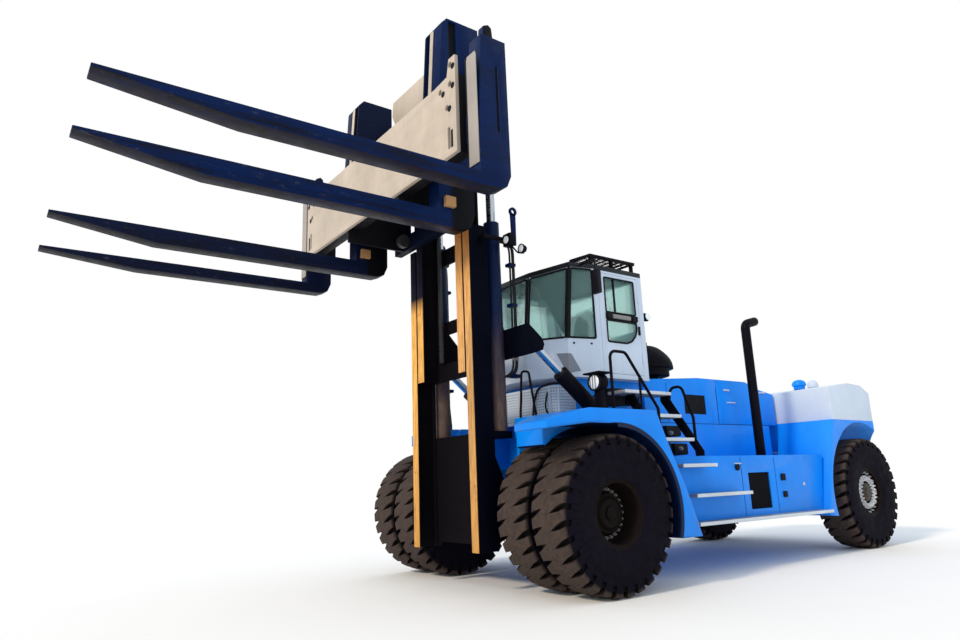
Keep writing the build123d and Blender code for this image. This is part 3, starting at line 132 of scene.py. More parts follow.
def pathFrames(path, closed=False):
    # two side directions for each point of a path: the tangent crossed with a fixed direction, then both crossed
    t = np.roll(path, -1, 0) - np.roll(path, 1, 0) if closed else np.gradient(path, axis=0)
    t /= np.linalg.norm(t, axis=1)[:, None]
    reference = np.array([0, 0, 1.0]) if abs(t[:, 2]).max() < 0.95 else np.array([0.31, 0.95, 0.05])
    side = np.cross(t, reference)
    side /= np.linalg.norm(side, axis=1)[:, None]
    return side, np.cross(side, t)


def tube(path, radius, sides=12, closed=False):
    # a circle carried along a path, or round a closed one
    path = np.asarray(path, float)
    side, up = pathFrames(path, closed)
    q = np.arange(sides) * 2 * np.pi / sides
    ring = np.cos(q)[None, :, None] * side[:, None] + np.sin(q)[None, :, None] * up[:, None]
    return gridPart(path[:, None] + radius * ring, closeRows=closed, caps=not closed)


def outlineNormal(loop):
    # the unit normal of a flat outline, from the edges at its first corner
    normal = np.cross(loop[1] - loop[0], loop[-1] - loop[0])
    return normal / np.linalg.norm(normal)


def insetLoop(corners, inset, depth=0.0):
    # a flat closed outline moved inwards by inset and back along its normal by depth
    c = np.asarray(corners, float)
    edge = np.roll(c, -1, 0) - c
    edge /= np.linalg.norm(edge, axis=1)[:, None]
    normal = outlineNormal(c)
    after = np.cross(normal, edge)
    return c + inset * inwardSteps(np.roll(after, 1, 0), after) - depth * normal


def panel(corners, thick, sunk=0.004):
    # a thin plate laid on a flat outline, its front turned along the outline's normal, its back sunk in the wall
    loop = np.asarray(corners, float)
    normal = outlineNormal(loop)
    return gridPart(np.stack([loop - sunk * normal, loop + thick * normal]))


def denser(loop, cornerReach=0.012):
    # a point near each end and in the middle of each run of a closed outline, so that a bead keeps its thickness there
    loop = np.asarray(loop, float)
    runs = []
    for a, b in zip(loop, np.roll(loop, -1, 0)):
        near = min(cornerReach / np.linalg.norm(b - a), 0.3)
        runs.append(a + (b - a) * np.array([near, 0.5, 1 - near])[:, None])
    return np.concatenate(runs)


def roundedPath(corners, bend, steps=6):
    # straight runs joined by curves: each corner becomes the quadratic blend (1-s)^2 a + 2s(1-s) corner + s^2 b
    corners = np.asarray(corners, float)
    out = [corners[:1]]
    s = np.linspace(0, 1, steps)[:, None]
    for before, corner, after in zip(corners[:-2], corners[1:-1], corners[2:]):
        reachA = min(bend, np.linalg.norm(before - corner) * 0.5)
        reachB = min(bend, np.linalg.norm(after - corner) * 0.5)
        a = corner + (before - corner) / np.linalg.norm(before - corner) * reachA
        b = corner + (after - corner) / np.linalg.norm(after - corner) * reachB
        out.append((1 - s) ** 2 * a + 2 * s * (1 - s) * corner + s ** 2 * b)
    out.append(corners[-1:])
    return np.concatenate(out)


def placed(part, copies):
    # the same part at many places, each a 4x4 matrix: one array product, then the faces shifted
    points, faces = part
    m = np.asarray([np.array(c, float) for c in copies])
    homogeneous = np.concatenate([points, np.ones((len(points), 1))], 1)
    moved = np.einsum("kij,nj->kni", m, homogeneous)[..., :3].reshape(-1, 3)
    count = len(points)
    allFaces = [tuple(i + k * count for i in f) for k in range(len(m)) for f in faces]
    return moved, allFaces


def shift(x=0, y=0, z=0):
    # the matrix that moves a part by x, y and z
    return Matrix.Translation((x, y, z))


def mirrorY(part):
    # the same part on the other side of the truck
    points, faces = part
    return points * np.array([1, -1, 1]), [f[::-1] for f in faces]


def around(centre, radius, count, turn=0.0):
    # matrices that place a part evenly on a circle about an axle along Y, its own Z pointing outwards
    step = 2 * math.pi / count
    return [
        Matrix.Translation(centre) @ Matrix.Rotation((i + turn) * step, 4, "Y") @ Matrix.Translation((0, 0, radius))
        for i in range(count)
    ]


def piece(name, parts, material, body, smooth=35, replaced=(), shares=None):
    # parts measured from the front axle, joined in one mesh with outward normals, riding on a CAD body
    points = np.concatenate([p for p, f in parts]) + np.array([frontAxleX, 0, 0])
    faces, offset = [], 0
    for p, f in parts:
        faces += [tuple(i + offset for i in face) for face in f]
        offset += len(p)
    name = name.replace(" ", "_")
    mesh = bpy.data.meshes.new(name)
    mesh.from_pydata(points, [], faces)
    mesh.validate()
    shell = bmesh.new()
    shell.from_mesh(mesh)
    bmesh.ops.recalc_face_normals(shell, faces=shell.faces)
    shell.to_mesh(mesh)
    shell.free()
    mesh.shade_smooth()
    mesh.set_sharp_from_angle(angle=math.radians(smooth))
    obj = bpy.data.objects.new(name, mesh)
    scene.collection.objects.link(obj)
    mesh.materials.append(material)
    for shareName, values in (shares or {}).items():
        mesh.attributes.new(shareName, "FLOAT", "POINT").data.foreach_set("value", np.asarray(values, np.float32))
    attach(obj, body)
    if replaced:
        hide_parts(*replaced)
    return obj


class Nodes:
    # short hand for building a node tree
    def __init__(self, name):
        self.material = bpy.data.materials.new(name)
        self.material.use_nodes = True
        self.tree = self.material.node_tree
        self.shader = self.tree.nodes["Principled BSDF"]
        self.place = self.add("ShaderNodeTexCoord").outputs["Object"]

    def add(self, kind, **values):
        # a new node with its settings
        node = self.tree.nodes.new(kind)
        for key, value in values.items():
            setattr(node, key, value)
        return node

    def link(self, a, b):
        self.tree.links.new(a, b)

    def scaled(self, x, y, z):
        # the place on the object times a scale for each axis: a small one draws a pattern out along it
        node = self.add("ShaderNodeMapping")
        node.inputs["Scale"].default_value = (x, y, z)
        self.link(self.place, node.inputs["Vector"])
        return node.outputs["Vector"]

    def noise(self, scale, detail=4, rough=0.6, where=None):
        # layered noise, mostly between 0.3 and 0.7
        node = self.add("ShaderNodeTexNoise")
        node.inputs["Scale"].default_value = scale
        node.inputs["Detail"].default_value = detail
        node.inputs["Roughness"].default_value = rough
        self.link(where or self.place, node.inputs["Vector"])
        return node.outputs["Fac"]

    def ramp(self, fac, low, high, a=0.0, b=1.0):
        # a straight line from a at low to b at high, level beyond both
        node = self.add("ShaderNodeMapRange")
        node.inputs["From Min"].default_value = low
        node.inputs["From Max"].default_value = high
        node.inputs["To Min"].default_value = a
        node.inputs["To Max"].default_value = b
        self.link(fac, node.inputs["Value"])
        return node.outputs["Result"]

    def math(self, operation, a, b):
        # a sum, difference or product, held between 0 and 1
        node = self.add("ShaderNodeMath", operation=operation, use_clamp=True)
        for value, socket in ((a, node.inputs[0]), (b, node.inputs[1])):
            if isinstance(value, (int, float)):
                socket.default_value = value
            else:
                self.link(value, socket)
        return node.outputs[0]

    def mix(self, fac, a, b):
        # (1 - fac) a + fac b, for colours
        node = self.add("ShaderNodeMix", data_type="RGBA")
        self.link(fac, node.inputs["Factor"])
        for value, socket in ((a, node.inputs[6]), (b, node.inputs[7])):
            if isinstance(value, tuple):
                socket.default_value = (*value, 1)
            else:
                self.link(value, socket)
        return node.outputs[2]

    def split(self, vector=None):
        # the three parts of a vector, or of the place on the object
        node = self.add("ShaderNodeSeparateXYZ")
        self.link(vector or self.place, node.inputs[0])
        return node.outputs["X"], node.outputs["Y"], node.outputs["Z"]

    def height(self):
        # metres above the ground
        return self.split()[2]

    def facing(self):
        # the three parts of the surface's normal
        return self.split(self.add("ShaderNodeNewGeometry").outputs["Normal"])

    def absolute(self, value):
        node = self.add("ShaderNodeMath", operation="ABSOLUTE")
        self.link(value, node.inputs[0])
        return node.outputs[0]

    def attribute(self, name):
        # a value stored at the mesh's points
        return self.add("ShaderNodeAttribute", attribute_name=name).outputs["Fac"]

    def bump(self, fac, strength, distance):
        # the normal tilted by the slope of a pattern, as if it stood out by a distance
        node = self.add("ShaderNodeBump")
        node.inputs["Strength"].default_value = strength
        node.inputs["Distance"].default_value = distance
        self.link(fac, node.inputs["Height"])
        self.link(node.outputs["Normal"], self.shader.inputs["Normal"])

    def surface(self, colour, rough, **values):
        # sets the shader's colour, its roughness (a number or a socket) and its other inputs, _ for a space in a name
        self.link(colour, self.shader.inputs["Base Color"])
        if isinstance(rough, float):
            self.shader.inputs["Roughness"].default_value = rough
        else:
            self.link(rough, self.shader.inputs["Roughness"])
        for name, value in values.items():
            self.shader.inputs[name.replace("_", " ")].default_value = value


def darker(colour, share):
    # each channel times a share
    return tuple(c * share for c in colour)


def paint(name, colour, rough=0.3, fade=0.0, dust=0.0, dustTop=1.4, chips=0.0, coat=0.0, over=None, shine=0.15):
    # enamel over steel: slow fading, road dust that thins with height, small chips and a fine orange peel
    n = Nodes(name)
    pale = tuple(min(c * (1 + 1.5 * fade) + 0.04 * fade, 1) for c in colour)
    body = n.mix(n.ramp(n.noise(1.3, 3), 0.35, 0.7), darker(colour, 0.92), pale)
    streak = n.ramp(n.noise(3.0, 5, 0.7, n.scaled(6, 6, 0.5)), 0.52, 0.75, 0, 0.35)
    body = n.mix(streak, body, darker(colour, 0.75))
    low = n.ramp(n.height(), 0.0, dustTop, dust, 0)
    dusty = n.math("MULTIPLY", low, n.ramp(n.noise(4, 6, 0.7), 0.3, 0.7, 0.3, 1.4))
    body = n.mix(dusty, body, wearAndLightPlan["dust"])
    chip = n.ramp(n.noise(38, 6, 0.75), 0.70 - chips * 0.08, 0.73 - chips * 0.08, 0, 1 if chips else 0)
    body = n.mix(chip, body, wearAndLightPlan["chip"])
    if over:
        body = over(n, body)
    patchy = n.ramp(n.noise(9, 5), 0.3, 0.75, rough, min(rough + 0.22, 1))
    n.surface(body, patchy, Specular_IOR_Level=shine, Coat_Weight=coat, Coat_Roughness=0.15)
    n.bump(n.noise(90, 3), 0.12, 0.002)
    return n.material


def mastLightAndWear(shadeHalfY, frontX):
    # over the navy: near-black painted shade between the rails, and on their front faces tan worn steel with painted
    # sunlight, brighter on the far rail, darker low down and near black on the far rail above 3.3 m, rusty near the top
    def over(n, body):
        x, y, z = n.split()
        # painted shade: the space between the rails goes near black
        between = n.ramp(n.absolute(y), shadeHalfY - 0.004, shadeHalfY + 0.004, 1, 0)
        body = n.mix(between, body, (0.005, 0.004, 0.006))
        # painted sunlight on worn steel: the rails' front faces get a bright tan, brighter on the far rail and darker
        # low down
        drawn = n.noise(9, 6, 0.7, n.scaled(7, 7, 0.35))
        bright = n.mix(n.ramp(y, -0.1, 0.1), wearAndLightPlan["sunlitSteelFar"], wearAndLightPlan["steel"])
        bright = n.mix(n.ramp(z, 0.5, 2.6, 0.85, 0), bright, wearAndLightPlan["sunlitSteelLow"])
        steel = n.mix(n.ramp(drawn, 0.36, 0.60), wearAndLightPlan["steelDeep"], bright)
        steel = n.mix(n.ramp(z, 3.3, 4.1, 0, 0.8), steel, wearAndLightPlan["rust"])
        far = n.math("MULTIPLY", n.ramp(z, 3.30, 3.50), n.ramp(y, -0.05, 0.05, 1, 0))
        steel = n.mix(far, steel, (0.010, 0.010, 0.020))
        steel = n.mix(n.ramp(n.noise(5, 7, 0.72), 0.60, 0.74, 0, 0.75), steel, (0.05, 0.025, 0.012))
        return n.mix(n.ramp(x, frontX - 0.007, frontX - 0.002), body, steel)
    return over


def forkShadeAndWear(n, body):
    # painted shade, near-black brown in patches, on every face that looks down; painted shade in the slots of the
    # shanks' sides; darker on the right-hand forks and near black at the inner forks' heels; scuffs along the blades
    # and tips
    x, y, z = n.split()
    facingY, facingZ = n.facing()[1:]
    # painted shade: faces that look down, below 4.3 m to 4.6 m, go near-black brown in patches
    low = n.math("MULTIPLY", n.ramp(facingZ, -0.35, -0.80), n.ramp(z, 4.3, 4.6, 1, 0))
    patches = n.ramp(n.noise(4, 6, 0.75, n.scaled(0.6, 5, 5)), 0.34, 0.60, 0.25, 1.0)
    body = n.mix(n.math("MULTIPLY", low, patches), body, wearAndLightPlan["under"])
    wide = n.absolute(y)
    sideways = n.ramp(n.absolute(facingY), 0.90, 0.95)
    # painted shade: the sunk face of each slot in the shanks' sides goes near black
    for face, depth in wearAndLightPlan["shankSlots"]:
        back = n.ramp(wide, face - depth, face - depth + 0.004)
        sunk = n.math("MULTIPLY", back, n.ramp(wide, face - 0.001, face, 1, 0))
        body = n.mix(n.math("MULTIPLY", sideways, sunk), body, (0.002, 0.002, 0.003))
    drawn = n.ramp(n.noise(3.5, 7, 0.75, n.scaled(0.35, 2, 5)), 0.46, 0.62, 0, 0.85)
    body = n.mix(n.math("MULTIPLY", drawn, n.ramp(x, 2.2, 3.2, 0.2, 1)), body, (0.006, 0.006, 0.009))
    body = n.mix(n.ramp(y, -0.1, 0.1, 0.6, 0), body, (0.004, 0.004, 0.007))
    heel = n.math("MULTIPLY", n.ramp(x, 2.28, 2.34, 1, 0), n.ramp(wide, 1.3, 1.31, 1, 0))
    heel = n.math("MULTIPLY", heel, n.ramp(z, 4.55, 4.65, 1, 0))
    body = n.mix(heel, body, (0.003, 0.003, 0.005))
    spots = n.ramp(n.noise(7, 8, 0.78, n.scaled(1, 2.5, 2.5)), 0.58, 0.68)
    return n.mix(n.math("MULTIPLY", n.ramp(x, 2.6, 6.4, 0.15, 1.0), spots), body, wearAndLightPlan["scuff"])


def roofEdge(n, body):
    # the roof's rim is black above 3.79 m, and lower over the front, where the brow slopes down past x 0.35;
    # heights count from 3 m here, because each sum is clamped to 0 and 1
    x, _, z = n.split()
    slope = n.math("MULTIPLY", n.math("SUBTRACT", x, 0.35), 0.27)
    above = n.math("ADD", n.math("SUBTRACT", z, 3.0), slope)
    return n.mix(n.ramp(above, 0.786, 0.792), body, (0.010, 0.011, 0.013))


def archShade(n, body):
    # painted shade inside the arch, dark navy: on what looks down, and on its inner face, one arch radius from the axle
    x, _, z = n.split()
    flat = n.add("ShaderNodeCombineXYZ")
    n.link(x, flat.inputs["X"])
    n.link(z, flat.inputs["Z"])
    away = n.add("ShaderNodeVectorMath", operation="DISTANCE")
    n.link(flat.outputs[0], away.inputs[0])
    away.inputs[1].default_value = (frontAxleX, 0, axleHeight)
    body = n.mix(n.ramp(n.facing()[2], -0.10, -0.30), body, wearAndLightPlan["archShadeColour"])
    near = n.ramp(away.outputs["Value"], archRadius + 0.004, archRadius + 0.010, 1, 0)
    return n.mix(near, body, wearAndLightPlan["archShadeColour"])


def barrelDustAndSun(n, body):
    # tan in patches on the lower part of the lift cylinders: dust, and painted sunlight
    patches = n.ramp(n.noise(6, 5, 0.7, n.scaled(3, 3, 0.6)), 0.30, 0.6, 0.3, 1)
    return n.mix(n.math("MULTIPLY", n.ramp(n.height(), 1.9, 3.1, 0.9, 0), patches), body, (0.16, 0.10, 0.065))


def rubber(name, colour, rough=0.75, dustColour=(0.12, 0.105, 0.085)):
    # tyre rubber: black walls with a faint bloom; the attribute treadShare brings in a dusty brown-grey tread,
    # and grooveShare keeps the grooves black
    n = Nodes(name)
    bloom = n.ramp(n.noise(5, 6, 0.7), 0.35, 0.75, 0, 0.25)
    body = n.mix(bloom, colour, darker(colour, 2.2))
    dusty = n.ramp(n.noise(16, 5, 0.7), 0.30, 0.70, 0.55, 1.0)
    body = n.mix(n.math("MULTIPLY", n.attribute("treadShare"), dusty), body, dustColour)
    body = n.mix(n.attribute("grooveShare"), body, (0.006, 0.005, 0.005))
    n.surface(body, n.ramp(n.noise(12, 4), 0.3, 0.7, rough - 0.1, rough + 0.12), Specular_IOR_Level=0.08)
    n.bump(n.noise(120, 4), 0.3, 0.003)
    return n.material


def bareMetal(name, colour, rough, wornShare=0.3, metal=0.9):
    # ground steel: long drawn lines, darker stains and a little rust in the stains
    n = Nodes(name)
    drawn = n.noise(14, 6, 0.7, n.scaled(9, 9, 0.4))
    body = n.mix(n.ramp(drawn, 0.35, 0.7), darker(colour, 0.78), colour)
    stain = n.ramp(n.noise(3.4, 7, 0.72), 0.62 - wornShare * 0.3, 0.78, 0, 0.85)
    body = n.mix(stain, body, wearAndLightPlan["chip"])
    n.surface(body, n.ramp(n.noise(7, 5), 0.3, 0.7, rough, rough + 0.25), Metallic=metal)
    n.bump(drawn, 0.12, 0.002)
    return n.material


def windowGlass(name, tint):
    # thin tinted glass with a faint dust film
    n = Nodes(name)
    film = n.mix(n.ramp(n.noise(6, 5, 0.7), 0.45, 0.8, 0.0, 0.25), tint, (0.6, 0.6, 0.58))
    n.surface(film, n.ramp(n.noise(8, 4), 0.3, 0.7, 0.02, 0.10), Transmission_Weight=0.76, IOR=1.2, Alpha=0.55)
    return n.material


def treadPlate(name, colour):
    # galvanised tread plate: raised grip points from a cell pattern, dirt between them
    n = Nodes(name)
    cells = n.add("ShaderNodeTexVoronoi", distance="CHEBYCHEV")
    cells.inputs["Scale"].default_value = 26
    cells.inputs["Randomness"].default_value = 0.25
    n.link(n.place, cells.inputs["Vector"])
    grip = n.ramp(cells.outputs["Distance"], 0.18, 0.34)
    body = n.mix(grip, colour, darker(colour, 0.45))
    body = n.mix(n.ramp(n.noise(5, 6, 0.7), 0.45, 0.75, 0, 0.6), body, (0.20, 0.17, 0.14))
    n.surface(body, n.ramp(n.noise(9, 5), 0.3, 0.7, 0.4, 0.7), Metallic=0.45)
    n.bump(n.ramp(grip, 0, 1, 1, 0), 0.6, 0.006)
    return n.material


def cloth(name, colour):
    # woven cover: fine noise for the threads, with sheen
    n = Nodes(name)
    threads = n.noise(240, 2, 0.5)
    n.surface(n.mix(threads, darker(colour, 0.6), colour), 0.9, Sheen_Weight=0.3)
    n.bump(threads, 0.3, 0.002)
    return n.material


def lampGlow(name, colour, strength):
    # a pale lens that shines a little by itself
    n = Nodes(name)
    body = n.mix(n.noise(60, 2), colour, darker(colour, 0.9))
    n.surface(body, 0.12, Emission_Color=(*colour, 1), Emission_Strength=strength)
    return n.material


# colours of wear, and of painted shade and painted sunlight
wearAndLightPlan = {
    # tan worn steel with painted sunlight for the mast rails' front faces, brighter on the far rail and darker low down
    "steel": (0.84, 0.45, 0.17), "sunlitSteelFar": (1.0, 0.53, 0.13), "sunlitSteelLow": (0.62, 0.31, 0.075),
    # after the drawn lines' dark and rust: the near-black brown of the painted shade on the forks' faces that look down
    "steelDeep": (0.40, 0.20, 0.07), "rust": (0.36, 0.11, 0.02), "under": (0.020, 0.015, 0.011),
    "scuff": (0.075, 0.070, 0.068), "dust": (0.25, 0.22, 0.18), "chip": (0.09, 0.07, 0.06),
    # the dark navy of the painted shade inside the front arches
    "archShadeColour": (0.003, 0.010, 0.045),
    "shankSlots": ((1.2185, 0.065), (2.1935, 0.070)),  # the outer face of each shank, and its slot's depth
    # where the rails' front faces start, and the half-width of the painted shade between the rails of each mast
    "railFaceX": frontAxleX + 0.885, "outerShadeY": 0.660, "innerShadeY": 0.525,
}
mastNavy, blue, paleGrey = (0.0015, 0.0022, 0.007), (0.0, 0.255, 0.94), (0.60, 0.68, 0.79)
outerMastLightAndWear = mastLightAndWear(wearAndLightPlan["outerShadeY"], wearAndLightPlan["railFaceX"])
innerMastLightAndWear = mastLightAndWear(wearAndLightPlan["innerShadeY"], wearAndLightPlan["railFaceX"])
finishes = {
    "blue_paint": paint("azure enamel", blue, fade=0.06, dust=0.12, dustTop=1.0, coat=0.10),
    "deep_blue_paint": paint("navy enamel", (0.002, 0.010, 0.060), 0.36, chips=0.2, coat=0.02, shine=0.06),
    "beige_paint": paint("primer plate", (0.50, 0.42, 0.34), 0.45, fade=0.12),
    "grey_paint": paint("pale grey enamel", paleGrey, fade=0.02, coat=0.1),
    "black_paint": paint("black enamel", (0.004, 0.003, 0.006), 0.45, dust=0.03, coat=0.01, shine=0.06),
    "silver_tread": treadPlate("tread plate", (0.62, 0.64, 0.66)),
    "rim_paint": paint("rim enamel", (0.007, 0.004, 0.004), 0.5, dust=0.02, shine=0.05),
    "tyre_rubber": rubber("tyre rubber", (0.0032, 0.0022, 0.0062), dustColour=(0.070, 0.050, 0.041)),
    "cast_black": paint("black casting", (0.008, 0.007, 0.008), 0.6, fade=0.02, dust=0.2),
    "chromed_rod": bareMetal("chromed rod", (0.62, 0.63, 0.65), 0.12, wornShare=0.0, metal=1.0),
    "window_glass": windowGlass("cab glass", (0.46, 0.78, 0.72)),
    "cab_trim": paint("cab trim", (0.02, 0.022, 0.026), 0.6, fade=0.05),
    "chair_cloth": cloth("chair cover", (0.05, 0.05, 0.06)),
    "mirror_glass": paint("mirror housing", (0.006, 0.006, 0.010), 0.4, fade=0.02, coat=0.03),
}
nodePaint = {  # CAD nodes whose finish is not just their slot's
    "outer_mast": paint("outer mast paint", mastNavy, 0.55, shine=0.03, over=outerMastLightAndWear),
    "inner_mast": paint("inner mast paint", mastNavy, 0.55, shine=0.03, over=innerMastLightAndWear),
    "carriage_frame": paint("greasy navy", (0.002, 0.004, 0.016), 0.5, shine=0.05),
    # the carriage ribs near black: painted shade
    "carriage_ribs": rubber("painted shade black", (0.006, 0.006, 0.008), 0.5),
    "cab_shell": paint("cab enamel", paleGrey, fade=0.02, coat=0.1, over=roofEdge),
    "fenders": paint("fender enamel", (0.0, 0.235, 0.86), fade=0.06, dust=0.12, dustTop=1.0, coat=0.10, over=archShade),
    "lift_barrels": paint("lift cylinder paint", (0.002, 0.010, 0.045), 0.34, coat=0.02, shine=0.1, over=barrelDustAndSun),
}
forkPaint = paint("fork paint", (0.002, 0.013, 0.070), 0.34, coat=0.02, shine=0.06, over=forkShadeAndWear)
# the same near black for the carriage's gaps, holes, slots and tower liners: painted shade
paintedShadeBlack = nodePaint["carriage_ribs"]
greasySteel = bareMetal("greasy chain steel", (0.10, 0.10, 0.105), 0.45, wornShare=0.4)
rimNuts = paint("zinc nuts", (0.60, 0.61, 0.63), 0.4, fade=0.1, dust=0.2)
dullNuts = paint("dull nuts", (0.22, 0.21, 0.20), 0.35, fade=0.1, dust=0.2, coat=0.2)
hoseRubber = rubber("hose rubber", (0.014, 0.014, 0.016), 0.55)
blackTrim = rubber("black seals", (0.009, 0.009, 0.011), 0.6)
wornPad = paint("worn pad", (0.36, 0.32, 0.29), 0.5, fade=0.1)
tanSteel = paint("tan steel", (0.42, 0.22, 0.09), 0.6, fade=0.1)
# a darker grey for the chamfers low on the cab's front corners: painted shade
cornerShadeGrey = paint("corner shade grey", (0.20, 0.22, 0.26), 0.4, fade=0.05, coat=0.05)
hubBrown = paint("oily hub", (0.040, 0.032, 0.018), 0.4, dust=0.1, coat=0.1)
seamPaint = paint("seam shadow", (0.0, 0.045, 0.24), 0.5)
brightNose = paint("worn tread edge", (0.62, 0.66, 0.70), 0.35, fade=0.1, dust=0.1, coat=0.1)
lampLens = lampGlow("lamp lens", (0.75, 0.78, 0.8), 0.25)
print("finishes made")


cadPlan = {"weld": 0.0001, "flatAngle": 1, "edgeWidth": 0.006, "edgeAngle": 40, "smoothAngle": 35}


def makeSmoothGroup():
    # smooth faces, kept sharp where two faces turn by more than the smooth angle
    group = bpy.data.node_groups.new("smooth by angle", "GeometryNodeTree")
    group.interface.new_socket("Geometry", in_out="INPUT", socket_type="NodeSocketGeometry")
    group.interface.new_socket("Geometry", in_out="OUTPUT", socket_type="NodeSocketGeometry")
    start, end, faces, edges, angle, compare = [group.nodes.new(kind) for kind in (
        "NodeGroupInput", "NodeGroupOutput", "GeometryNodeSetShadeSmooth", "GeometryNodeSetShadeSmooth",
        "GeometryNodeInputMeshEdgeAngle", "FunctionNodeCompare",
    )]
    edges.domain = "EDGE"
    edges.inputs["Shade Smooth"].default_value = False
    compare.operation = "GREATER_THAN"
    compare.inputs[1].default_value = math.radians(cadPlan["smoothAngle"])
    for a, b in (
        (angle.outputs["Unsigned Angle"], compare.inputs[0]),
        (compare.outputs[0], edges.inputs["Selection"]),
        (start.outputs[0], faces.inputs["Geometry"]),
        (faces.outputs[0], edges.inputs["Geometry"]),
        (edges.outputs[0], end.inputs[0]),
    ):
        group.links.new(a, b)
    return group


def softenCad(obj, plan, smoothGroup):
    # welds the CAD triangles, merges flat areas and rounds the sharp edges
    weld = obj.modifiers.new("weld", "WELD")
    weld.merge_threshold = plan["weld"]
    flat = obj.modifiers.new("flat", "DECIMATE")
    flat.decimate_type = "DISSOLVE"
    flat.angle_limit = math.radians(plan["flatAngle"])
    bevel = obj.modifiers.new("edge", "BEVEL")
    bevel.width = plan["edgeWidth"]
    bevel.segments = 2
    bevel.limit_method = "ANGLE"
    bevel.angle_limit = math.radians(plan["edgeAngle"])
    bevel.use_clamp_overlap = True
    shade = obj.modifiers.new("shade", "NODES")
    shade.node_group = smoothGroup


smoothGroup = makeSmoothGroup()
slotOf = {part["node"]: part["material_slot"] for part in frame["record"]["subparts"]}
for nodeName, obj in frame["nodes"].items():
    finish = forkPaint if "fork" in nodeName else finishes[slotOf[nodeName]]
    obj.data.materials.clear()
    obj.data.materials.append(nodePaint.get(nodeName, finish))
    softenCad(obj, cadPlan, smoothGroup)
print("CAD nodes finished")

tyrePlan = {
    "radius": 0.8065, "width": 0.5, "pitches": 30, "grooveDepth": 0.056, "skew": -0.60,
    "grooveWide": 0.50, "grooveNarrow": 0.02, "grooveInner": 0.26, "wall": 0.035,
    "groovePlaces": ((-1, 0), (-0.72, 1), (0, 1), (0.72, 1), (1, 0)),  # place across a groove, and whether it is sunk
    "blockPlaces": (0.19, 0.31), "shoulderPull": 0.022,
    "frontY": (1.120, 1.686), "frontTurn": 0.37, "rearY": 1.382,
}


def tyreProfile(plan):
    # half of the cross-section from the centre to the bead: (distance from the centre line, radius), each a share
    r, w = plan["radius"], plan["width"] / 2
    knots = np.array([
        (0.00, 1.000), (0.12, 1.000), (0.24, 1.000), (0.32, 0.999), (0.42, 0.998), (0.54, 0.996), (0.66, 0.993),
        (0.78, 0.989), (0.87, 0.983), (0.925, 0.972), (0.948, 0.950), (0.955, 0.925), (0.958, 0.900), (0.962, 0.880),
        (0.975, 0.850), (0.992, 0.790), (0.998, 0.720), (0.985, 0.650), (0.955, 0.580), (0.930, 0.535),
        (0.925, 0.515), (0.900, 0.495), (0.885, 0.470), (0.860, 0.445), (0.800, 0.428),
    ])
    return np.stack([knots[:, 0] * w, knots[:, 1] * r], 1)


def tyrePart(centreX, centreY, plan, turn=0.0):
    # columns lie along the slanted grooves: angle = pitch x (index + phase) + skew x width share;
    # inside a groove the radius loses a depth that grows from the groove's inner end to the shoulder
    half = tyreProfile(plan)
    section = np.concatenate([half[::-1] * np.array([-1, 1]), half[1:]])
    share = section[:, 0] / (plan["width"] / 2)
    reach = np.clip((np.abs(share) - plan["grooveInner"]) / (1 - plan["grooveInner"]), 0, 1)
    wide = plan["grooveNarrow"] + (plan["grooveWide"] - plan["grooveNarrow"]) * reach ** 0.7
    rows = []
    for mid, which in ((0.0, 1), (0.5, -1)):
        for place, sunk in plan["groovePlaces"]:
            grooveHalf = wide * place * 0.5 * (1 + plan["wall"])
            here = np.where(share * which > 0, grooveHalf, plan["grooveNarrow"] * place * 0.5)
            rows.append((mid + here, which, sunk))
        rows += [(np.full(len(share), mid + place), 0, 0) for place in plan["blockPlaces"]]
    phases, side, inside = zip(*rows)
    phases = np.stack(phases)
    side, inside = np.array(side)[:, None], np.array(inside)[:, None]
    fade = np.clip((section[:, 1] / plan["radius"] - 0.86) / 0.05, 0, 1)
    depth = plan["grooveDepth"] * np.clip(reach * 6, 0, 1) * fade
    shoulder = np.clip((np.abs(share) - 0.9) / 0.05, 0, 1) * fade
    cut = inside * (side * share > 0)
    radius = section[:, 1] - cut * depth
    across = section[:, 0] - cut * shoulder * np.sign(share) * plan["shoulderPull"]
    index = np.arange(plan["pitches"])[:, None, None]
    pitch = 2 * np.pi / plan["pitches"]
    lean = plan["skew"] * np.clip(share, -0.95, 0.95)
    angle = (index + phases[None] + lean + turn) * pitch
    radius = np.broadcast_to(radius[None], angle.shape)
    across = np.broadcast_to(across[None], angle.shape)
    points = np.stack([
        centreX + radius * np.sin(angle),
        centreY + across,
        axleHeight + radius * np.cos(angle),
    ], -1).reshape(-1, len(section), 3)
    onTread = np.clip((section[:, 1] / plan["radius"] - 0.93) / 0.03, 0, 1)
    tread = np.broadcast_to((onTread * (1 - cut))[None], angle.shape).reshape(-1)
    groove = np.broadcast_to((onTread * cut * (reach > 0))[None], angle.shape).reshape(-1)
    return gridPart(points, closeRows=True, closeCols=True, caps=False), tread, groove


def makeTyres(plan):
    # each set takes the place of its plain CAD tyres
    for side, word in bothSides:
        front = [tyrePart(0, side * y, plan, plan["frontTurn"] * i) for i, y in enumerate(plan["frontY"])]
        rear = [tyrePart(rearAxleX, side * plan["rearY"], plan)]
        for made, name, body, gone in (
            (front, f"front tread {word}", f"front_wheels_{word}", f"front_tyres_{word}"),
            (rear, f"rear tread {word}", f"rear_wheel_{word}", f"rear_tyre_{word}"),
        ):
            parts, tread, groove = zip(*made)
            shares = {"treadShare": np.concatenate(tread), "grooveShare": np.concatenate(groove)}
            piece(name, parts, finishes["tyre_rubber"], body, 30, (gone,), shares)


makeTyres(tyrePlan)
print("tyres made")


def sideBlock(side, x, y, z, soften=0.004):
    # a softened box from its x, y and z ranges on the left side, or its mirror image on the right
    y0, y1 = sorted((side * y[0], side * y[1]))
    return block((x[0], y0, z[0]), (x[1], y1, z[1]), soften)


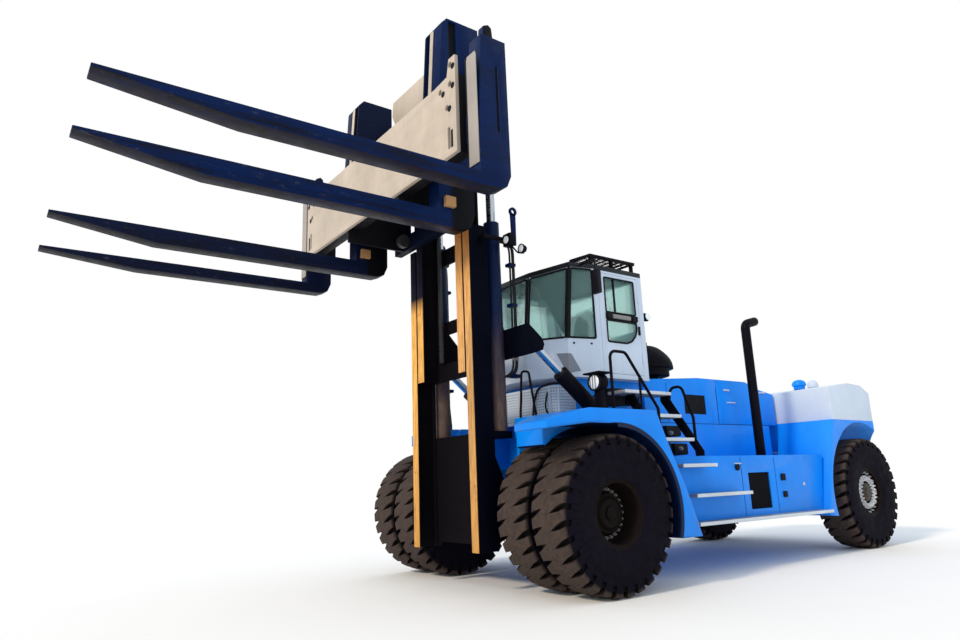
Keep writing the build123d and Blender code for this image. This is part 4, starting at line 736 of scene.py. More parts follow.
def sidePlate(side, outline, low, high, soften):
    # an outline of (y, z) points on one side, carried along X
    return prism([(side * y, z) for y, z in outline], low, high, "x", soften)


def sidePipe(side, corners, bend, radius, sides=8):
    # a pipe with rounded bends through corners given for the left side
    return tube(roundedPath([(x, side * y, z) for x, y, z in corners], bend), radius, sides)


def sideKnob(side, profile, x, y, z, segments):
    # a profile turned about Y that stands on a face at y and reaches out of the truck
    deep = max(point[0] for point in profile)
    return lathe(profile, "y", (x, side * y - (0 if side > 0 else deep), z), segments)


def grabHandle(side, x, y, z, reach, radius):
    # a bar between two feet on a face at y
    x0, x1 = x
    return sidePipe(side, [(x0, y, z), (x0, y + reach, z), (x1, y + reach, z), (x1, y, z)], 0.02, radius)


def addPieces(rows, body):
    # one piece for each row of name, parts, material and slot
    for name, parts, material, slotName in rows:
        piece(name, parts, material, body)


wheelPlan = {
    "nut": [(0, 0.021), (0.0224, 0.021), (0.028, 0.0147), (0.028, 0.0105), (0.042, 0.0105)],
    "frontNuts": 24, "frontNutsY": 1.666, "frontNutsRadius": 0.245,
    "lock": [(0.0, 0.318), (0.0, 0.352), (0.012, 0.366), (0.028, 0.364), (0.032, 0.350),
             (0.020, 0.336), (0.020, 0.318)],
    "frontLockY": 1.866, "rearLockY": 1.562,
    "cone": [(0.0, 0.150), (0.0, 0.205), (0.018, 0.205), (0.026, 0.196), (0.026, 0.150)], "coneY": 1.718,
    "cap": [(0, 0.075), (0.016, 0.075), (0.024, 0.060), (0.026, pole)], "capY": 1.775,
    "clamps": 22, "clampsY": 1.500, "clampDeep": 0.042,
    "clamp": [(-0.014, 0.165), (0.014, 0.165), (0.027, 0.245), (-0.027, 0.245)],
    "outerNutsRadius": 0.300, "innerNutsRadius": 0.205, "innerNutsY": 1.540,
    "bowl": [(1.402, 0.120), (1.402, 0.200), (1.488, 0.322), (1.500, 0.322), (1.500, 0.120)],
    "clampRing": [(0.0, 0.150), (0.0, 0.245), (0.018, 0.245), (0.024, 0.238), (0.024, 0.156), (0.018, 0.150)],
    "rearCap": [(0, 0.135), (0.045, 0.135), (0.060, 0.115), (0.064, 0.070), (0.075, 0.066), (0.078, pole)],
    "rearCapY": 1.490,
}


def makeWheelDetail(plan):
    # nuts, lock rings and hub caps on the front rims; on the rear ones a ring of clamps before a dark bowl
    nut = lathe(plan["nut"], "y", segments=6)
    clamp = prism(plan["clamp"], 0.0, plan["clampDeep"], "y", 0.006)
    z, count = axleHeight, plan["clamps"]
    front = [
        placed(nut, around((0, plan["frontNutsY"], z), plan["frontNutsRadius"], plan["frontNuts"])),
        ringLathe(plan["lock"], "y", (0, plan["frontLockY"], z), 64),
        ringLathe(plan["cone"], "y", (0, plan["coneY"], z), 48),
        lathe(plan["cap"], "y", (0, plan["capY"], z), 32),
    ]
    disc = (rearAxleX, plan["clampsY"], z)
    clamps = [
        placed(clamp, around(disc, 0, count)),
        placed(nut, around(disc, plan["outerNutsRadius"], count, 0.5)),
        placed(nut, around((rearAxleX, plan["innerNutsY"], z), plan["innerNutsRadius"], count)),
    ]
    rings = [
        ringLathe(plan["lock"], "y", (rearAxleX, plan["rearLockY"], z), 64),
        ringLathe(plan["bowl"], "y", (rearAxleX, 0, z), 64),
        ringLathe(plan["clampRing"], "y", disc, 64),
    ]
    cap = [lathe(plan["rearCap"], "y", (rearAxleX, plan["rearCapY"], z), 40)]
    for side, word in bothSides:
        for name, parts, material, body in (
            ("front nuts", front[:1], dullNuts, "front_wheels"),
            ("front lock ring", front[1:], finishes["rim_paint"], "front_wheels"),
            ("rear clamps", clamps, rimNuts, "rear_wheel"),
            ("rear lock ring", rings, finishes["rim_paint"], "rear_wheel"),
            ("rear hub cap", cap, hubBrown, "rear_wheel"),
        ):
            parts = parts if side > 0 else [mirrorY(part) for part in parts]
            piece(f"{name} {word}", parts, material, f"{body}_{word}")


makeWheelDetail(wheelPlan)
print("wheels dressed")

mastPlan = {
    "chainX": 0.700, "chainY": 0.250, "chainPitch": 0.060, "chainLow": 2.66, "chainHigh": 5.90,
    "linkRows": (-0.024, -0.012, 0.0, 0.012, 0.024), "linkHalf": 0.004, "linkReach": 1.1,
    "pin": [(-0.032, 0.006), (0.032, 0.006)],
    "link": [(-0.5, -0.011), (-0.28, -0.019), (-0.1, -0.011), (0.1, -0.011), (0.28, -0.019), (0.5, -0.011),
             (0.5, 0.011), (0.28, 0.019), (0.1, 0.011), (-0.1, 0.011), (-0.28, 0.019), (-0.5, 0.011)],
    "sheaveAt": (0.785, 5.92),
    "sheave": [(-0.045, 0.020), (-0.045, 0.085), (-0.034, 0.085), (-0.026, 0.067),
               (0.026, 0.067), (0.034, 0.085), (0.045, 0.085), (0.045, 0.020)],
    "hosesAt": ((0.330, 0.735), (0.300, 0.747), (0.272, 0.735)), "hoseRadius": 0.013, "hoseBend": 0.12,
    "hoseTop": (0.10, 0.60, 4.02), "hoseEnd": (0.09, 0.66, 2.34),
    "hoseRun": ((0.0, 3.96), (0.0, 3.20), (0.01, 2.60), (0.02, 2.40)),
    "fitting": [(-0.09, 0.012), (-0.09, 0.018), (-0.02, 0.018), (-0.015, 0.022), (0.02, 0.022), (0.03, 0.015)],
    "fittingAt": (0.01, 2.62),
    "bracketX": (0.255, 0.348), "bracketY": (0.665, 0.755), "bracketZ": (3.70, 3.20, 2.35), "bracketHalf": 0.02,
    "eye": (0.300, 0.800, 4.360), "eyeHalf": 0.012, "eyeRadii": (0.026, 0.055),
    "eyePost": [(3.93, 0.272), (3.93, 0.330), (4.33, 0.340), (4.33, 0.265)],
    "eyeArm": ((0.280, 0.330), (0.660, 0.800), (4.06, 4.10)),
    "lampAt": (0.265, 0.900, 3.865), "smallLampAt": (0.465, 0.855, 3.955),
    "lampRim": [(-0.055, 0.020), (-0.045, 0.040), (0.0, 0.056), (0.020, 0.058), (0.020, 0.050),
                (0.012, 0.048), (0.012, pole)],
    "lampStem": [(0.40, 0.86, 3.90), (0.33, 0.90, 3.80), (0.24, 0.90, 3.815)], "stemBend": 0.03, "stemRadius": 0.010,
    "lens": [(0.012, pole), (0.012, 0.047), (0.020, 0.040), (0.028, 0.020), (0.030, pole)],
    "smallLens": [(0.0, 0.045), (0.006, 0.042), (0.008, pole)],
}


def chainRun(plan, y):
    # a leaf chain: one flat link shape placed along a line, each row of plates half a pitch from the next, and its pins
    x, low, pitch = plan["chainX"], plan["chainLow"], plan["chainPitch"]
    outline = [(a * pitch * plan["linkReach"], b) for a, b in plan["link"]]
    link = prism(outline, -plan["linkHalf"], plan["linkHalf"], "y", 0.001, 1)
    pin = lathe(plan["pin"], "y", segments=6)
    count = int((plan["chainHigh"] - low) / pitch)
    rows = [
        placed(link, [shift(x, y + across, low + (row % 2) * pitch * 0.5 + i * pitch) for i in range(count)])
        for row, across in enumerate(plan["linkRows"])
    ]
    return rows + [placed(pin, [shift(x, y, low + i * pitch * 0.5) for i in range(count * 2)])]


def makeMast(plan):
    # leaf chains behind the inner mast with a sheave each, hoses down the outside, lifting eyes and lamps
    chains, sheaves, hoses, fittings, brackets, lampRims, lenses = [], [], [], [], [], [], []
    sheaveX, sheaveZ = plan["sheaveAt"]
    topX, topY, topZ = plan["hoseTop"]
    endX, endY, endZ = plan["hoseEnd"]
    eyeX, eyeY, eyeZ = plan["eye"]
    half, (bore, rim) = plan["eyeHalf"], plan["eyeRadii"]
    for side in (1, -1):
        chains += chainRun(plan, side * plan["chainY"])
        sheaves.append(lathe(plan["sheave"], "y", (sheaveX, side * plan["chainY"], sheaveZ), 32))
        for x, y in plan["hosesAt"]:
            run = [(x + topX, topY, topZ)] + [(x + dx, y, z) for dx, z in plan["hoseRun"]] + [(x + endX, endY, endZ)]
            hoses.append(sidePipe(side, run, plan["hoseBend"], plan["hoseRadius"]))
            fittings.append(lathe(plan["fitting"], "z", (x + plan["fittingAt"][0], side * y, plan["fittingAt"][1]), 12))
        for z in plan["bracketZ"]:
            deep = (z - plan["bracketHalf"], z + plan["bracketHalf"])
            brackets.append(sideBlock(side, plan["bracketX"], plan["bracketY"], deep))
        y = side * eyeY
        brackets.append(ringLathe([(-half, bore), (-half, rim), (half, rim), (half, bore)], "y", (eyeX, y, eyeZ), 24))
        brackets.append(prism(plan["eyePost"], y - half, y + half, "y", 0.003))
        brackets.append(sideBlock(side, *plan["eyeArm"]))
        lampAt, smallLampAt = [(x, side * y, z) for x, y, z in (plan["lampAt"], plan["smallLampAt"])]
        lampRims.append(lathe(plan["lampRim"], "x", lampAt, 32))
        lampRims.append(sidePipe(side, plan["lampStem"], plan["stemBend"], plan["stemRadius"]))
        lenses.append(lathe(plan["lens"], "x", lampAt, 32))
        lenses.append(lathe(plan["smallLens"], "x", smallLampAt, 24))
    addPieces((
        ("lift chains", chains, greasySteel, "chromed_rod"),
        ("chain sheaves", sheaves, finishes["black_paint"], "black_paint"),
    ), "inner_mast")
    addPieces((
        ("mast hoses", hoses, hoseRubber, "black_paint"),
        ("hose fittings", fittings, dullNuts, "chromed_rod"),
        ("mast brackets", brackets, finishes["deep_blue_paint"], "deep_blue_paint"),
        ("mast lamp rims", lampRims, finishes["black_paint"], "black_paint"),
        ("mast lamp lenses", lenses, lampLens, "window_glass"),
    ), "outer_mast")


carriagePlan = {
    "shankX": 1.790, "lift": 0.0005, "padThick": 0.010, "gapThick": 0.004,
    "pad": [(2.030, 4.07), (2.186, 4.07), (2.186, 5.20), (2.175, 5.24), (2.045, 5.24), (2.030, 5.20)],
    "gap": [(1.997, 4.05), (2.024, 4.05), (2.024, 5.25), (1.997, 5.25)],
    "towerLow": (5.25, 1.600), "towerHigh": (6.25, 1.540),  # height and x of the tower's sloped face
    "stripZ": (5.27, 6.23), "stripY": (0.990, 1.055), "stripThick": 0.008,
    "edgeY": (0.871, 0.894), "edgeThick": 0.004,
    "slotBack": ((1.481, 1.484), (0.896, 0.984), (5.21, 6.24)),
    "plate": [(-0.712, 6.11), (-0.690, 6.310), (0.690, 6.310), (0.712, 6.11), (0.600, 5.88), (-0.600, 5.88)],
    "plateX": (1.100, 1.118), "plateFoot": ((0.94, 1.10), (0.66, 0.70), (5.90, 5.97)),
    "hole": [(0.0005, 0.033), (0.002, 0.033), (0.002, pole)], "frontX": 1.840,
    "holes": [(1.853, 5.242), (1.843, 5.030), (1.666, 5.014), (1.777, 4.803)],
    "slot": [(1.790, 4.372), (1.826, 4.372), (1.826, 4.560), (1.790, 4.560)], "slotX": (1.8405, 1.842),
    "heelX": (1.375, 1.500), "heelZ": (4.065, 4.185), "heelY": ((1.112, 1.165), (0.862, 0.908)),
    "wheel": [(-0.035, 0.030), (-0.035, 0.085), (0.035, 0.085), (0.035, 0.030)],
    "wheelX": 1.09, "wheelY": 0.50, "wheelZ": (4.24, 5.22),
}


def towerStrip(plan, side, y, thick):
    # a strip on the tower's sloped face, whose x falls in a straight line with height
    (lowZ, lowX), (highZ, highX) = plan["towerLow"], plan["towerHigh"]
    z = np.array(plan["stripZ"])
    x = lowX + (highX - lowX) * (z - lowZ) / (highZ - lowZ)
    outline = [(z[0], x[0] + plan["lift"]), (z[1], x[1] + plan["lift"]), (z[1], x[1] + thick), (z[0], x[0] + thick)]
    y0, y1 = sorted((side * y[0], side * y[1]))
    return prism(outline, y0, y1, "y", 0.001)


def makeCarriage(plan):
    # wear pads on the outer shanks, strips and liners on the towers, blocks at the inner forks' heels, the top cross
    # plate, guide wheels, and the front plate's holes and long slots; the gaps beside the pads, the liners, the holes
    # and the slots are near black, painted shade
    padX = plan["shankX"]
    back = padX + plan["lift"]
    pads = [sidePlate(side, plan["pad"], back, padX + plan["padThick"], 0.002) for side in (1, -1)]
    # painted shade: near-black strips in the gaps beside the pads
    gaps = [sidePlate(side, plan["gap"], back, padX + plan["gapThick"], 0.001) for side in (1, -1)]
    plate = [prism(plan["plate"], *plan["plateX"], "x", 0.003)]
    plate += [sideBlock(side, *plan["plateFoot"]) for side in (1, -1)]
    hole = lathe(plan["hole"], "x", segments=20)
    # painted shade: near-black discs and strips for the front plate's holes and long slots
    dark = [placed(hole, [shift(plan["frontX"], side * y, z) for y, z in plan["holes"] for side in (1, -1)])]
    dark += [sidePlate(side, plan["slot"], *plan["slotX"], 0.0005) for side in (1, -1)]
    wheels = [
        lathe(plan["wheel"], "y", (plan["wheelX"], side * plan["wheelY"], z), 24)
        for side in (1, -1) for z in plan["wheelZ"]
    ]
    addPieces((
        ("shank pads", pads, wornPad, "beige_paint"),
        ("shank gaps", gaps, paintedShadeBlack, "black_paint"),
        ("carriage top plate", plate, finishes["beige_paint"], "beige_paint"),
        ("plate holes", dark, paintedShadeBlack, "black_paint"),
        ("guide wheels", wheels, greasySteel, "chromed_rod"),
    ), "carriage")
    for side, word in bothSides:
        strip = [towerStrip(plan, side, plan["stripY"], plan["stripThick"])]
        # painted shade: near black on the back of the tower's slot and along its edge
        towerShade = [sideBlock(side, *plan["slotBack"], 0.001), towerStrip(plan, side, plan["edgeY"], plan["edgeThick"])]
        heel = [sideBlock(side, plan["heelX"], y, plan["heelZ"], 0.006) for y in plan["heelY"]]
        addPieces((
            (f"tower strip {word}", strip, finishes["beige_paint"], "beige_paint"),
            (f"tower liner {word}", towerShade, paintedShadeBlack, "black_paint"),
            (f"heel blocks {word}", heel, tanSteel, "beige_paint"),
        ), f"inner_fork_{word}")


makeMast(mastPlan)
makeCarriage(carriagePlan)
print("mast dressed")

cabPlan = {
    "sill": 2.85, "roof": 3.80, "brow": 3.712, "halfY": 0.90, "postX": -0.90, "rearX": -1.80,
    "ring": [(-0.176, 0.360), (-0.490, 0.785), (-0.90, 0.90), (-1.80, 0.90)],
    "roofRing": [(-0.238, 0.404), (-0.560, 0.820), (-0.90, 0.90), (-1.80, 0.90)],
    "seal": 0.013, "frame": 0.026, "doorFrame": 0.004, "panelThick": 0.003,
    "rearPane": (0.15, 0.20), "rightPane": (0.10, 0.04),
    "upperPane": [(-1.642, 3.24), (-1.082, 3.24), (-1.082, 3.71), (-1.642, 3.71)],
    "lowerPane": [(-1.642, 3.05), (-1.607, 2.96), (-1.532, 2.885), (-1.432, 2.85), (-1.082, 2.85),
                  (-1.082, 3.14), (-1.642, 3.14)],
    "slidePost": ((-1.287, -1.262), (0.870, 0.888), (3.25, 3.70)),
    "doorBand": ((-1.652, -1.072), (0.9005, 0.906), (3.142, 3.238)),
    "doorBar": ((-1.512, -1.182), (0.905, 0.930), (3.160, 3.218)),
    "barEnds": (((-1.642, -1.542), (0.905, 0.934), (3.150, 3.230)),
                ((-1.162, -1.082), (0.905, 0.934), (3.150, 3.230))),
    "doorLock": ((-1.687, -1.662), (0.9005, 0.922), (2.98, 3.10)),
    # the wiper's ends as shares of the front pane's width and height
    "wiperBase": (0.5, 0.05), "wiperTip": (0.28, 0.70), "wiperOff": 0.022, "wiperBow": 0.012, "wiperRadius": 0.007,
    "bladeDown": 0.24, "bladeUp": 0.12, "bladeRadius": 0.008,
    "wiperPivot": [(-0.02, 0.020), (0.014, 0.020), (0.02, 0.012), (0.02, pole)],
    "headliner": [(-0.610, 0.735), (-0.900, 0.825), (-1.730, 0.825)], "headlinerZ": (3.765, 3.785),
    "rearBar": ((-1.735, -0.80, 3.72), (-1.715, 0.80, 3.77)),
    "rightLining": ((-1.74, -0.848, 2.46), (-1.10, -0.835, 2.83)),
    "posts": ((1, 3.795, 0.021), (0, 3.700, 0.012)), "postLow": 2.862, "postMiddle": 3.3,
    # the chamfers low on the cab's front corners, where grey panels stand for painted shade
    "cornerShadePanels": (
        [(-0.400, 0.664, 2.680), (-0.488, 0.784, 2.674), (-0.488, 0.784, 2.430), (-0.474, 0.765, 2.415)],
        [(-0.490, 0.786, 2.674), (-0.527, 0.7965, 2.668), (-0.640, 0.828, 2.458), (-0.490, 0.786, 2.430)],
    ),
    "fixing": [(-0.004, 0.014), (0.006, 0.014), (0.010, 0.009), (0.010, pole)],
    "fixings": (0.20, 0.78), "fixingDrop": 0.045,
}


def cabEdge(index, z, side):
    # a point on the cab's edge above ring point number index, at a height
    share = (z - cabPlan["sill"]) / (cabPlan["roof"] - cabPlan["sill"])
    low, high = np.array(cabPlan["ring"][index]), np.array(cabPlan["roofRing"][index])
    x, y = low + (high - low) * share
    return (x, side * y, z)


def cabWall(a, b, side):
    # the four corners of the wall between two ring points, turned so that its normal points out of the cab
    top = {0: cabPlan["brow"], 1: cabPlan["roof"], 2: cabPlan["roof"]}
    if side < 0:
        a, b = b, a
    sill = cabPlan["sill"]
    return [cabEdge(a, sill, side), cabEdge(b, sill, side), cabEdge(b, top[b], side), cabEdge(a, top[a], side)]


def paneSeal(corners, inset, depth=0.0):
    # a round bead just inside a pane's outline
    return tube(denser(insetLoop(corners, inset, depth)), cabPlan["seal"], 6, True)


def makeCab(plan):
    # black seals round every pane, the door's bar and lock, wiper, lining, corner posts, the grey panels of painted
    # shade low on the front corners, and two fixings under the side pane
    sill, brow, roof, y, rearX = plan["sill"], plan["brow"], plan["roof"], plan["halfY"], plan["rearX"]
    front = [cabEdge(0, z, side) for z, side in ((sill, -1), (sill, 1), (brow, 1), (brow, -1))]
    inY, upZ = plan["rearPane"]
    rear = [(rearX, s * (y - inY), z) for s, z in ((1, sill + upZ), (-1, sill + upZ), (-1, roof), (1, roof))]
    backX, frontX = rearX + plan["rightPane"][0], plan["postX"] - plan["rightPane"][1]
    right = [(x, -y, z) for x, z in ((backX, sill), (frontX, sill), (frontX, roof), (backX, roof))]
    walls = [front, rear, right] + [cabWall(a, a + 1, side) for a in (0, 1) for side in (1, -1)]
    seals = [paneSeal(wall, plan["frame"], -0.001) for wall in walls]
    doorSeals = [paneSeal([(x, y, z) for x, z in plan[name]], plan["doorFrame"]) for name in ("upperPane", "lowerPane")]
    doorSeals += [sideBlock(1, *plan["slidePost"]), sideBlock(1, *plan["doorBand"], 0.003)]
    ends = [sideBlock(1, *end, 0.012) for end in plan["barEnds"]] + [sideBlock(1, *plan["doorLock"], 0.006)]
    addPieces((
        ("door seals", doorSeals, blackTrim, "black_paint"),
        ("door bar", [sideBlock(1, *plan["doorBar"], 0.010)], dullNuts, "grey_paint"),
        ("door bar ends", ends, blackTrim, "black_paint"),
    ), "cab_door")
    # the wiper lies across the front pane, a little outside it
    w = np.array(front)
    normal = np.cross(w[1] - w[0], w[3] - w[0])
    normal /= np.linalg.norm(normal)
    base, tip = [
        w[0] + s * (w[1] - w[0]) + t * (w[3] - w[0]) + normal * plan["wiperOff"]
        for s, t in (plan["wiperBase"], plan["wiperTip"])
    ]
    wipers = [
        tube([base, (base + tip) / 2 + normal * plan["wiperBow"], tip], plan["wiperRadius"], 6),
        tube([tip - (0, 0, plan["bladeDown"]), tip, tip + (0, 0, plan["bladeUp"])], plan["bladeRadius"], 6),
        lathe(plan["wiperPivot"], "x", tuple(base), 12),
    ]
    outline = plan["headliner"] + [(x, -y) for x, y in reversed(plan["headliner"])]
    lining = [prism(outline, *plan["headlinerZ"], "z", 0.004), block(*plan["rearBar"]), block(*plan["rightLining"])]
    posts = [
        tube([cabEdge(index, z, side) for z in (plan["postLow"], plan["postMiddle"], top)], radius, 10)
        for index, top, radius in plan["posts"] for side in (1, -1)
    ]
    # painted shade: darker grey panels on the chamfers low on the front corners
    facets = []
    for side in (1, -1):
        for corners in plan["cornerShadePanels"]:
            loop = [(x, side * y, z) for x, y, z in corners]
            facets.append(panel(loop if side < 0 else loop[::-1], plan["panelThick"]))
    w = np.array(cabWall(1, 2, 1))
    spots = [w[0] + s * (w[1] - w[0]) - (0, 0, plan["fixingDrop"]) for s in plan["fixings"]]
    addPieces((
        ("pane seals", seals, blackTrim, "black_paint"),
        ("wipers", wipers, blackTrim, "black_paint"),
        ("cab lining", lining, finishes["cab_trim"], "cab_trim"),
        ("cab corner posts", posts, blackTrim, "black_paint"),
        ("cab corner shade panels", facets, cornerShadeGrey, "grey_paint"),
        ("cab fixings", [lathe(plan["fixing"], "y", tuple(spot), 12) for spot in spots], blackTrim, "black_paint"),
    ), "chassis")


chairPlan = {
    "seat": ((-1.260, 0.0, 2.795), (0.262, 0.268, 0.070)), "back": ((-1.490, 0.0, 3.160), (0.060, 0.245, 0.290)),
    "rest": ((-1.560, 0.0, 3.440), (0.045, 0.130, 0.060)), "lean": math.radians(-10), "square": 0.45,
    "channels": (-0.4, 0.4), "channelDepth": 0.10, "channelWidth": 0.05,
    "ribs": 6, "ribPitch": 0.042, "ribOuter": 0.190, "ribInner": 0.165, "foot": (-1.27, 0, 2.44),
    "footTop": [(0.26, 0.190), (0.285, 0.210)],
    "arm": [(-1.50, 0.262, 2.86), (-1.51, 0.262, 3.02), (-1.20, 0.262, 3.02)], "armBend": 0.05, "armRadius": 0.018,
}


def cushion(centre, half, lean, plan, rows=40, cols=64):
    # a superellipsoid: each axis is sign(c) x |c|^square of the sphere's own, with two soft channels pressed across it
    u = np.linspace(-np.pi / 2 + 0.02, np.pi / 2 - 0.02, rows)[:, None]
    v = (np.arange(cols) * 2 * np.pi / cols)[None]
    cosU, sinU, cosV, sinV = [
        np.sign(c) * np.abs(c) ** plan["square"] for c in (np.cos(u), np.sin(u), np.cos(v), np.sin(v))
    ]
    a, b, c = cosU * cosV, cosU * sinV, sinU * np.ones_like(v)
    upright = half[0] < half[2]
    for line in plan["channels"]:
        dip = plan["channelDepth"] * np.exp(-((b - line) / plan["channelWidth"]) ** 2)
        a, c = a * (1 - dip * upright), c * (1 - dip * (not upright))
    x, y, z = a * half[0], b * half[1], c * half[2]
    x, z = x * math.cos(lean) + z * math.sin(lean), z * math.cos(lean) - x * math.sin(lean)
    return gridPart(np.stack([x, y, z], -1) + np.array(centre))


def makeChair(plan):
    # padded seat, back and head rest on a pedestal with a ribbed boot, arm rests on both sides
    leans = (("seat", 0.0), ("back", plan["lean"]), ("rest", plan["lean"]))
    parts = [cushion(*plan[name], lean, plan) for name, lean in leans]
    pads = piece("chair cushions", parts, finishes["chair_cloth"], "chassis", 50, ("operator_chair",))
    boot = []
    for i in range(plan["ribs"]):
        boot += [(i * plan["ribPitch"], plan["ribOuter"]), ((i + 0.5) * plan["ribPitch"], plan["ribInner"])]
    base = [lathe(boot + plan["footTop"], "z", plan["foot"], 24)]
    base += [sidePipe(side, plan["arm"], plan["armBend"], plan["armRadius"]) for side in (1, -1)]
    piece("chair base", base, blackTrim, "chassis")


makeChair(chairPlan)

guardPlan = {
    "x": (-1.78, -1.00, 14), "y": (-0.74, 0.74, 12), "z": (4.026, 4.032), "half": 0.78, "run": (-1.80, -1.40, -0.99),
    "rise": 0.001, "barRadius": 0.005,
}


def makeRoofMesh(plan):
    # fine mesh on the guard: thin bars both ways, a little raised in the middle
    (low, high), half, (start, middle, end), rise = plan["z"], plan["half"], plan["run"], plan["rise"]
    runs = [[(x, -half, low), (x, 0, low + rise), (x, half, low)] for x in np.linspace(*plan["x"])]
    runs += [[(start, y, high), (middle, y, high + rise), (end, y, high)] for y in np.linspace(*plan["y"])]
    piece("guard mesh", [tube(run, plan["barRadius"], 5) for run in runs], blackTrim, "chassis")


grillePlan = {
    "hole": [(0.0, 0.0085), (0.002, 0.0085), (0.0022, pole)], "rows": (1.90, 2.25, 11),
    "frontX": -0.300, "frontY": (-0.56, 0.56, 29), "sideY": 0.700, "sideX": (-0.60, -0.385, 7),
    "cornerFrom": (-0.300, 0.600), "cornerTo": (-0.360, 0.700), "cornerShares": (0.22, 0.5, 0.78),
    # corners, bend and radius of each hose
    "hoses": [
        ([(-0.62, 0.72, 2.30), (-0.34, 0.72, 2.31), (-0.27, 0.62, 2.30), (-0.27, 0.42, 2.28), (-0.26, 0.33, 2.05),
          (-0.25, 0.33, 1.86)], 0.10, 0.015),
        ([(-0.27, 0.60, 2.20), (-0.255, 0.55, 2.02), (-0.24, 0.66, 1.90), (0.02, 0.74, 1.875)], 0.10, 0.012),
    ],
}


def makeGrille(plan):
    # the box before the cab: rows of round holes on its front, its left side and the corner between, and two hoses
    spin = Matrix.Rotation(math.radians(90), 4, "Z")
    (ax, ay), (bx, by) = plan["cornerFrom"], plan["cornerTo"]
    lean = Matrix.Rotation(math.atan2(ax - bx, by - ay), 4, "Z")
    holes = []
    for z in np.linspace(*plan["rows"]):
        holes += [shift(plan["frontX"], y, z) for y in np.linspace(*plan["frontY"])]
        holes += [shift(x, plan["sideY"], z) @ spin for x in np.linspace(*plan["sideX"])]
        holes += [shift(ax + (bx - ax) * s, ay + (by - ay) * s, z) @ lean for s in plan["cornerShares"]]
    hole = lathe(plan["hole"], "x", segments=8)
    hoses = [sidePipe(1, *hose) for hose in plan["hoses"]]
    addPieces((
        ("grille holes", [placed(hole, holes)], blackTrim, "black_paint"),
        ("grille hoses", hoses, hoseRubber, "black_paint"),
    ), "chassis")


lampPlan = {
    "at": (-0.475, 1.21, 2.255),
    "bars": (-0.04, 0.0, 0.04), "barRun": ((-0.441, -0.095), (-0.438, 0.0), (-0.441, 0.09)),
    "lens": [(0.001, 0.086), (0.012, 0.080), (0.022, 0.060), (0.028, 0.030), (0.030, pole)],
    "rim": [(0.0, 0.084), (0.0, 0.105), (0.018, 0.103), (0.022, 0.094), (0.018, 0.084)],
    "barRadius": 0.004, "cableBend": 0.08, "cableRadius": 0.010,
    "cable": [(-0.54, 1.20, 2.12), (-0.60, 1.15, 2.0), (-0.58, 1.05, 1.9), (-0.60, 0.95, 1.86)],
    "workLamp": [(-0.004, 0.050), (0.0, 0.050), (0.006, 0.044), (0.010, pole)], "workLampAt": (-1.875, 0.915, 3.26),
}


def makeLamps(plan):
    # headlamps with a pale lens, thin rim, three bars and a cable, and the lenses of the cab's rear work lamps
    lenses, rims, rear = [], [], []
    x, y, z = plan["at"]
    rearX, rearY, rearZ = plan["workLampAt"]
    for side in (1, -1):
        lenses.append(lathe(plan["lens"], "x", (x, side * y, z), 40))
        rims.append(ringLathe(plan["rim"], "x", (x, side * y, z), 40))
        for across in plan["bars"]:
            run = [(barX, side * y + across, z + up) for barX, up in plan["barRun"]]
            rims.append(tube(run, plan["barRadius"], 5))
        rims.append(sidePipe(side, plan["cable"], plan["cableBend"], plan["cableRadius"], 6))
        rear.append(lathe(plan["workLamp"], "y", (rearX, side * rearY, rearZ), 24))
    addPieces((
        ("headlamp lenses", lenses, lampLens, "window_glass"),
        ("headlamp rims", rims, blackTrim, "black_paint"),
        ("work lamp glass", rear, lampLens, "window_glass"),
    ), "chassis")


makeCab(cabPlan)
makeRoofMesh(guardPlan)
makeGrille(grillePlan)
makeLamps(lampPlan)
print("cab dressed")

hullPlan = {
    "meshX": (-3.310, -2.840), "meshZ": (0.700, 1.160), "meshBack": (1.4755, 1.479), "wireY": 1.487,
    "wirePitch": 0.045, "wireRadius": 0.004, "coreGap": 0.002, "wireGap": 0.004,
    "ventX": (-3.130, -2.660), "ventZ": (1.990, 2.262), "ventBack": (0.7205, 0.7445), "slatY": (0.742, 0.749),
    "slats": 9, "slatEdge": 0.03, "slatHalf": 0.006,
    "seams": [
        ((-3.407, -3.397), (0.750, 0.7515), (1.87, 2.40)), ((-2.305, -2.295), (0.750, 0.7515), (1.87, 2.40)),
        ((-4.840, -1.860), (0.750, 0.7515), (1.853, 1.861)),
        ((-2.704, -2.696), (1.500, 1.5015), (0.63, 1.36)), ((-3.454, -3.446), (1.500, 1.5015), (0.63, 1.36)),
    ],
    "squares": ((-3.612, 1.086, 0.045), (-3.618, 0.862, 0.040)), "squareY": (1.5005, 1.520), "tankY": 1.500,
    "filler": [(0.0, 0.045), (0.014, 0.045), (0.020, 0.035), (0.020, pole)], "fillerAt": (-2.616, 1.236),
    "drain": [(0.0, 0.022), (0.012, 0.022), (0.016, 0.014), (0.016, pole)], "drainAt": (-4.107, 0.978),
    "hinge": [(-0.06, pole), (-0.06, 0.014), (0.06, 0.014), (0.06, pole)],
    "hingeX": (-3.65, -4.55), "hingeAt": (0.756, 2.36),
    "tankHandle": ((-2.68, -2.56), 1.500, 1.28, 0.03, 0.007), "lidHandle": ((-3.80, -3.64), 0.750, 2.175, 0.035, 0.009),
}


def inner(span, edge):
    # a range drawn in by an edge at both ends
    return span[0] + edge, span[1] - edge


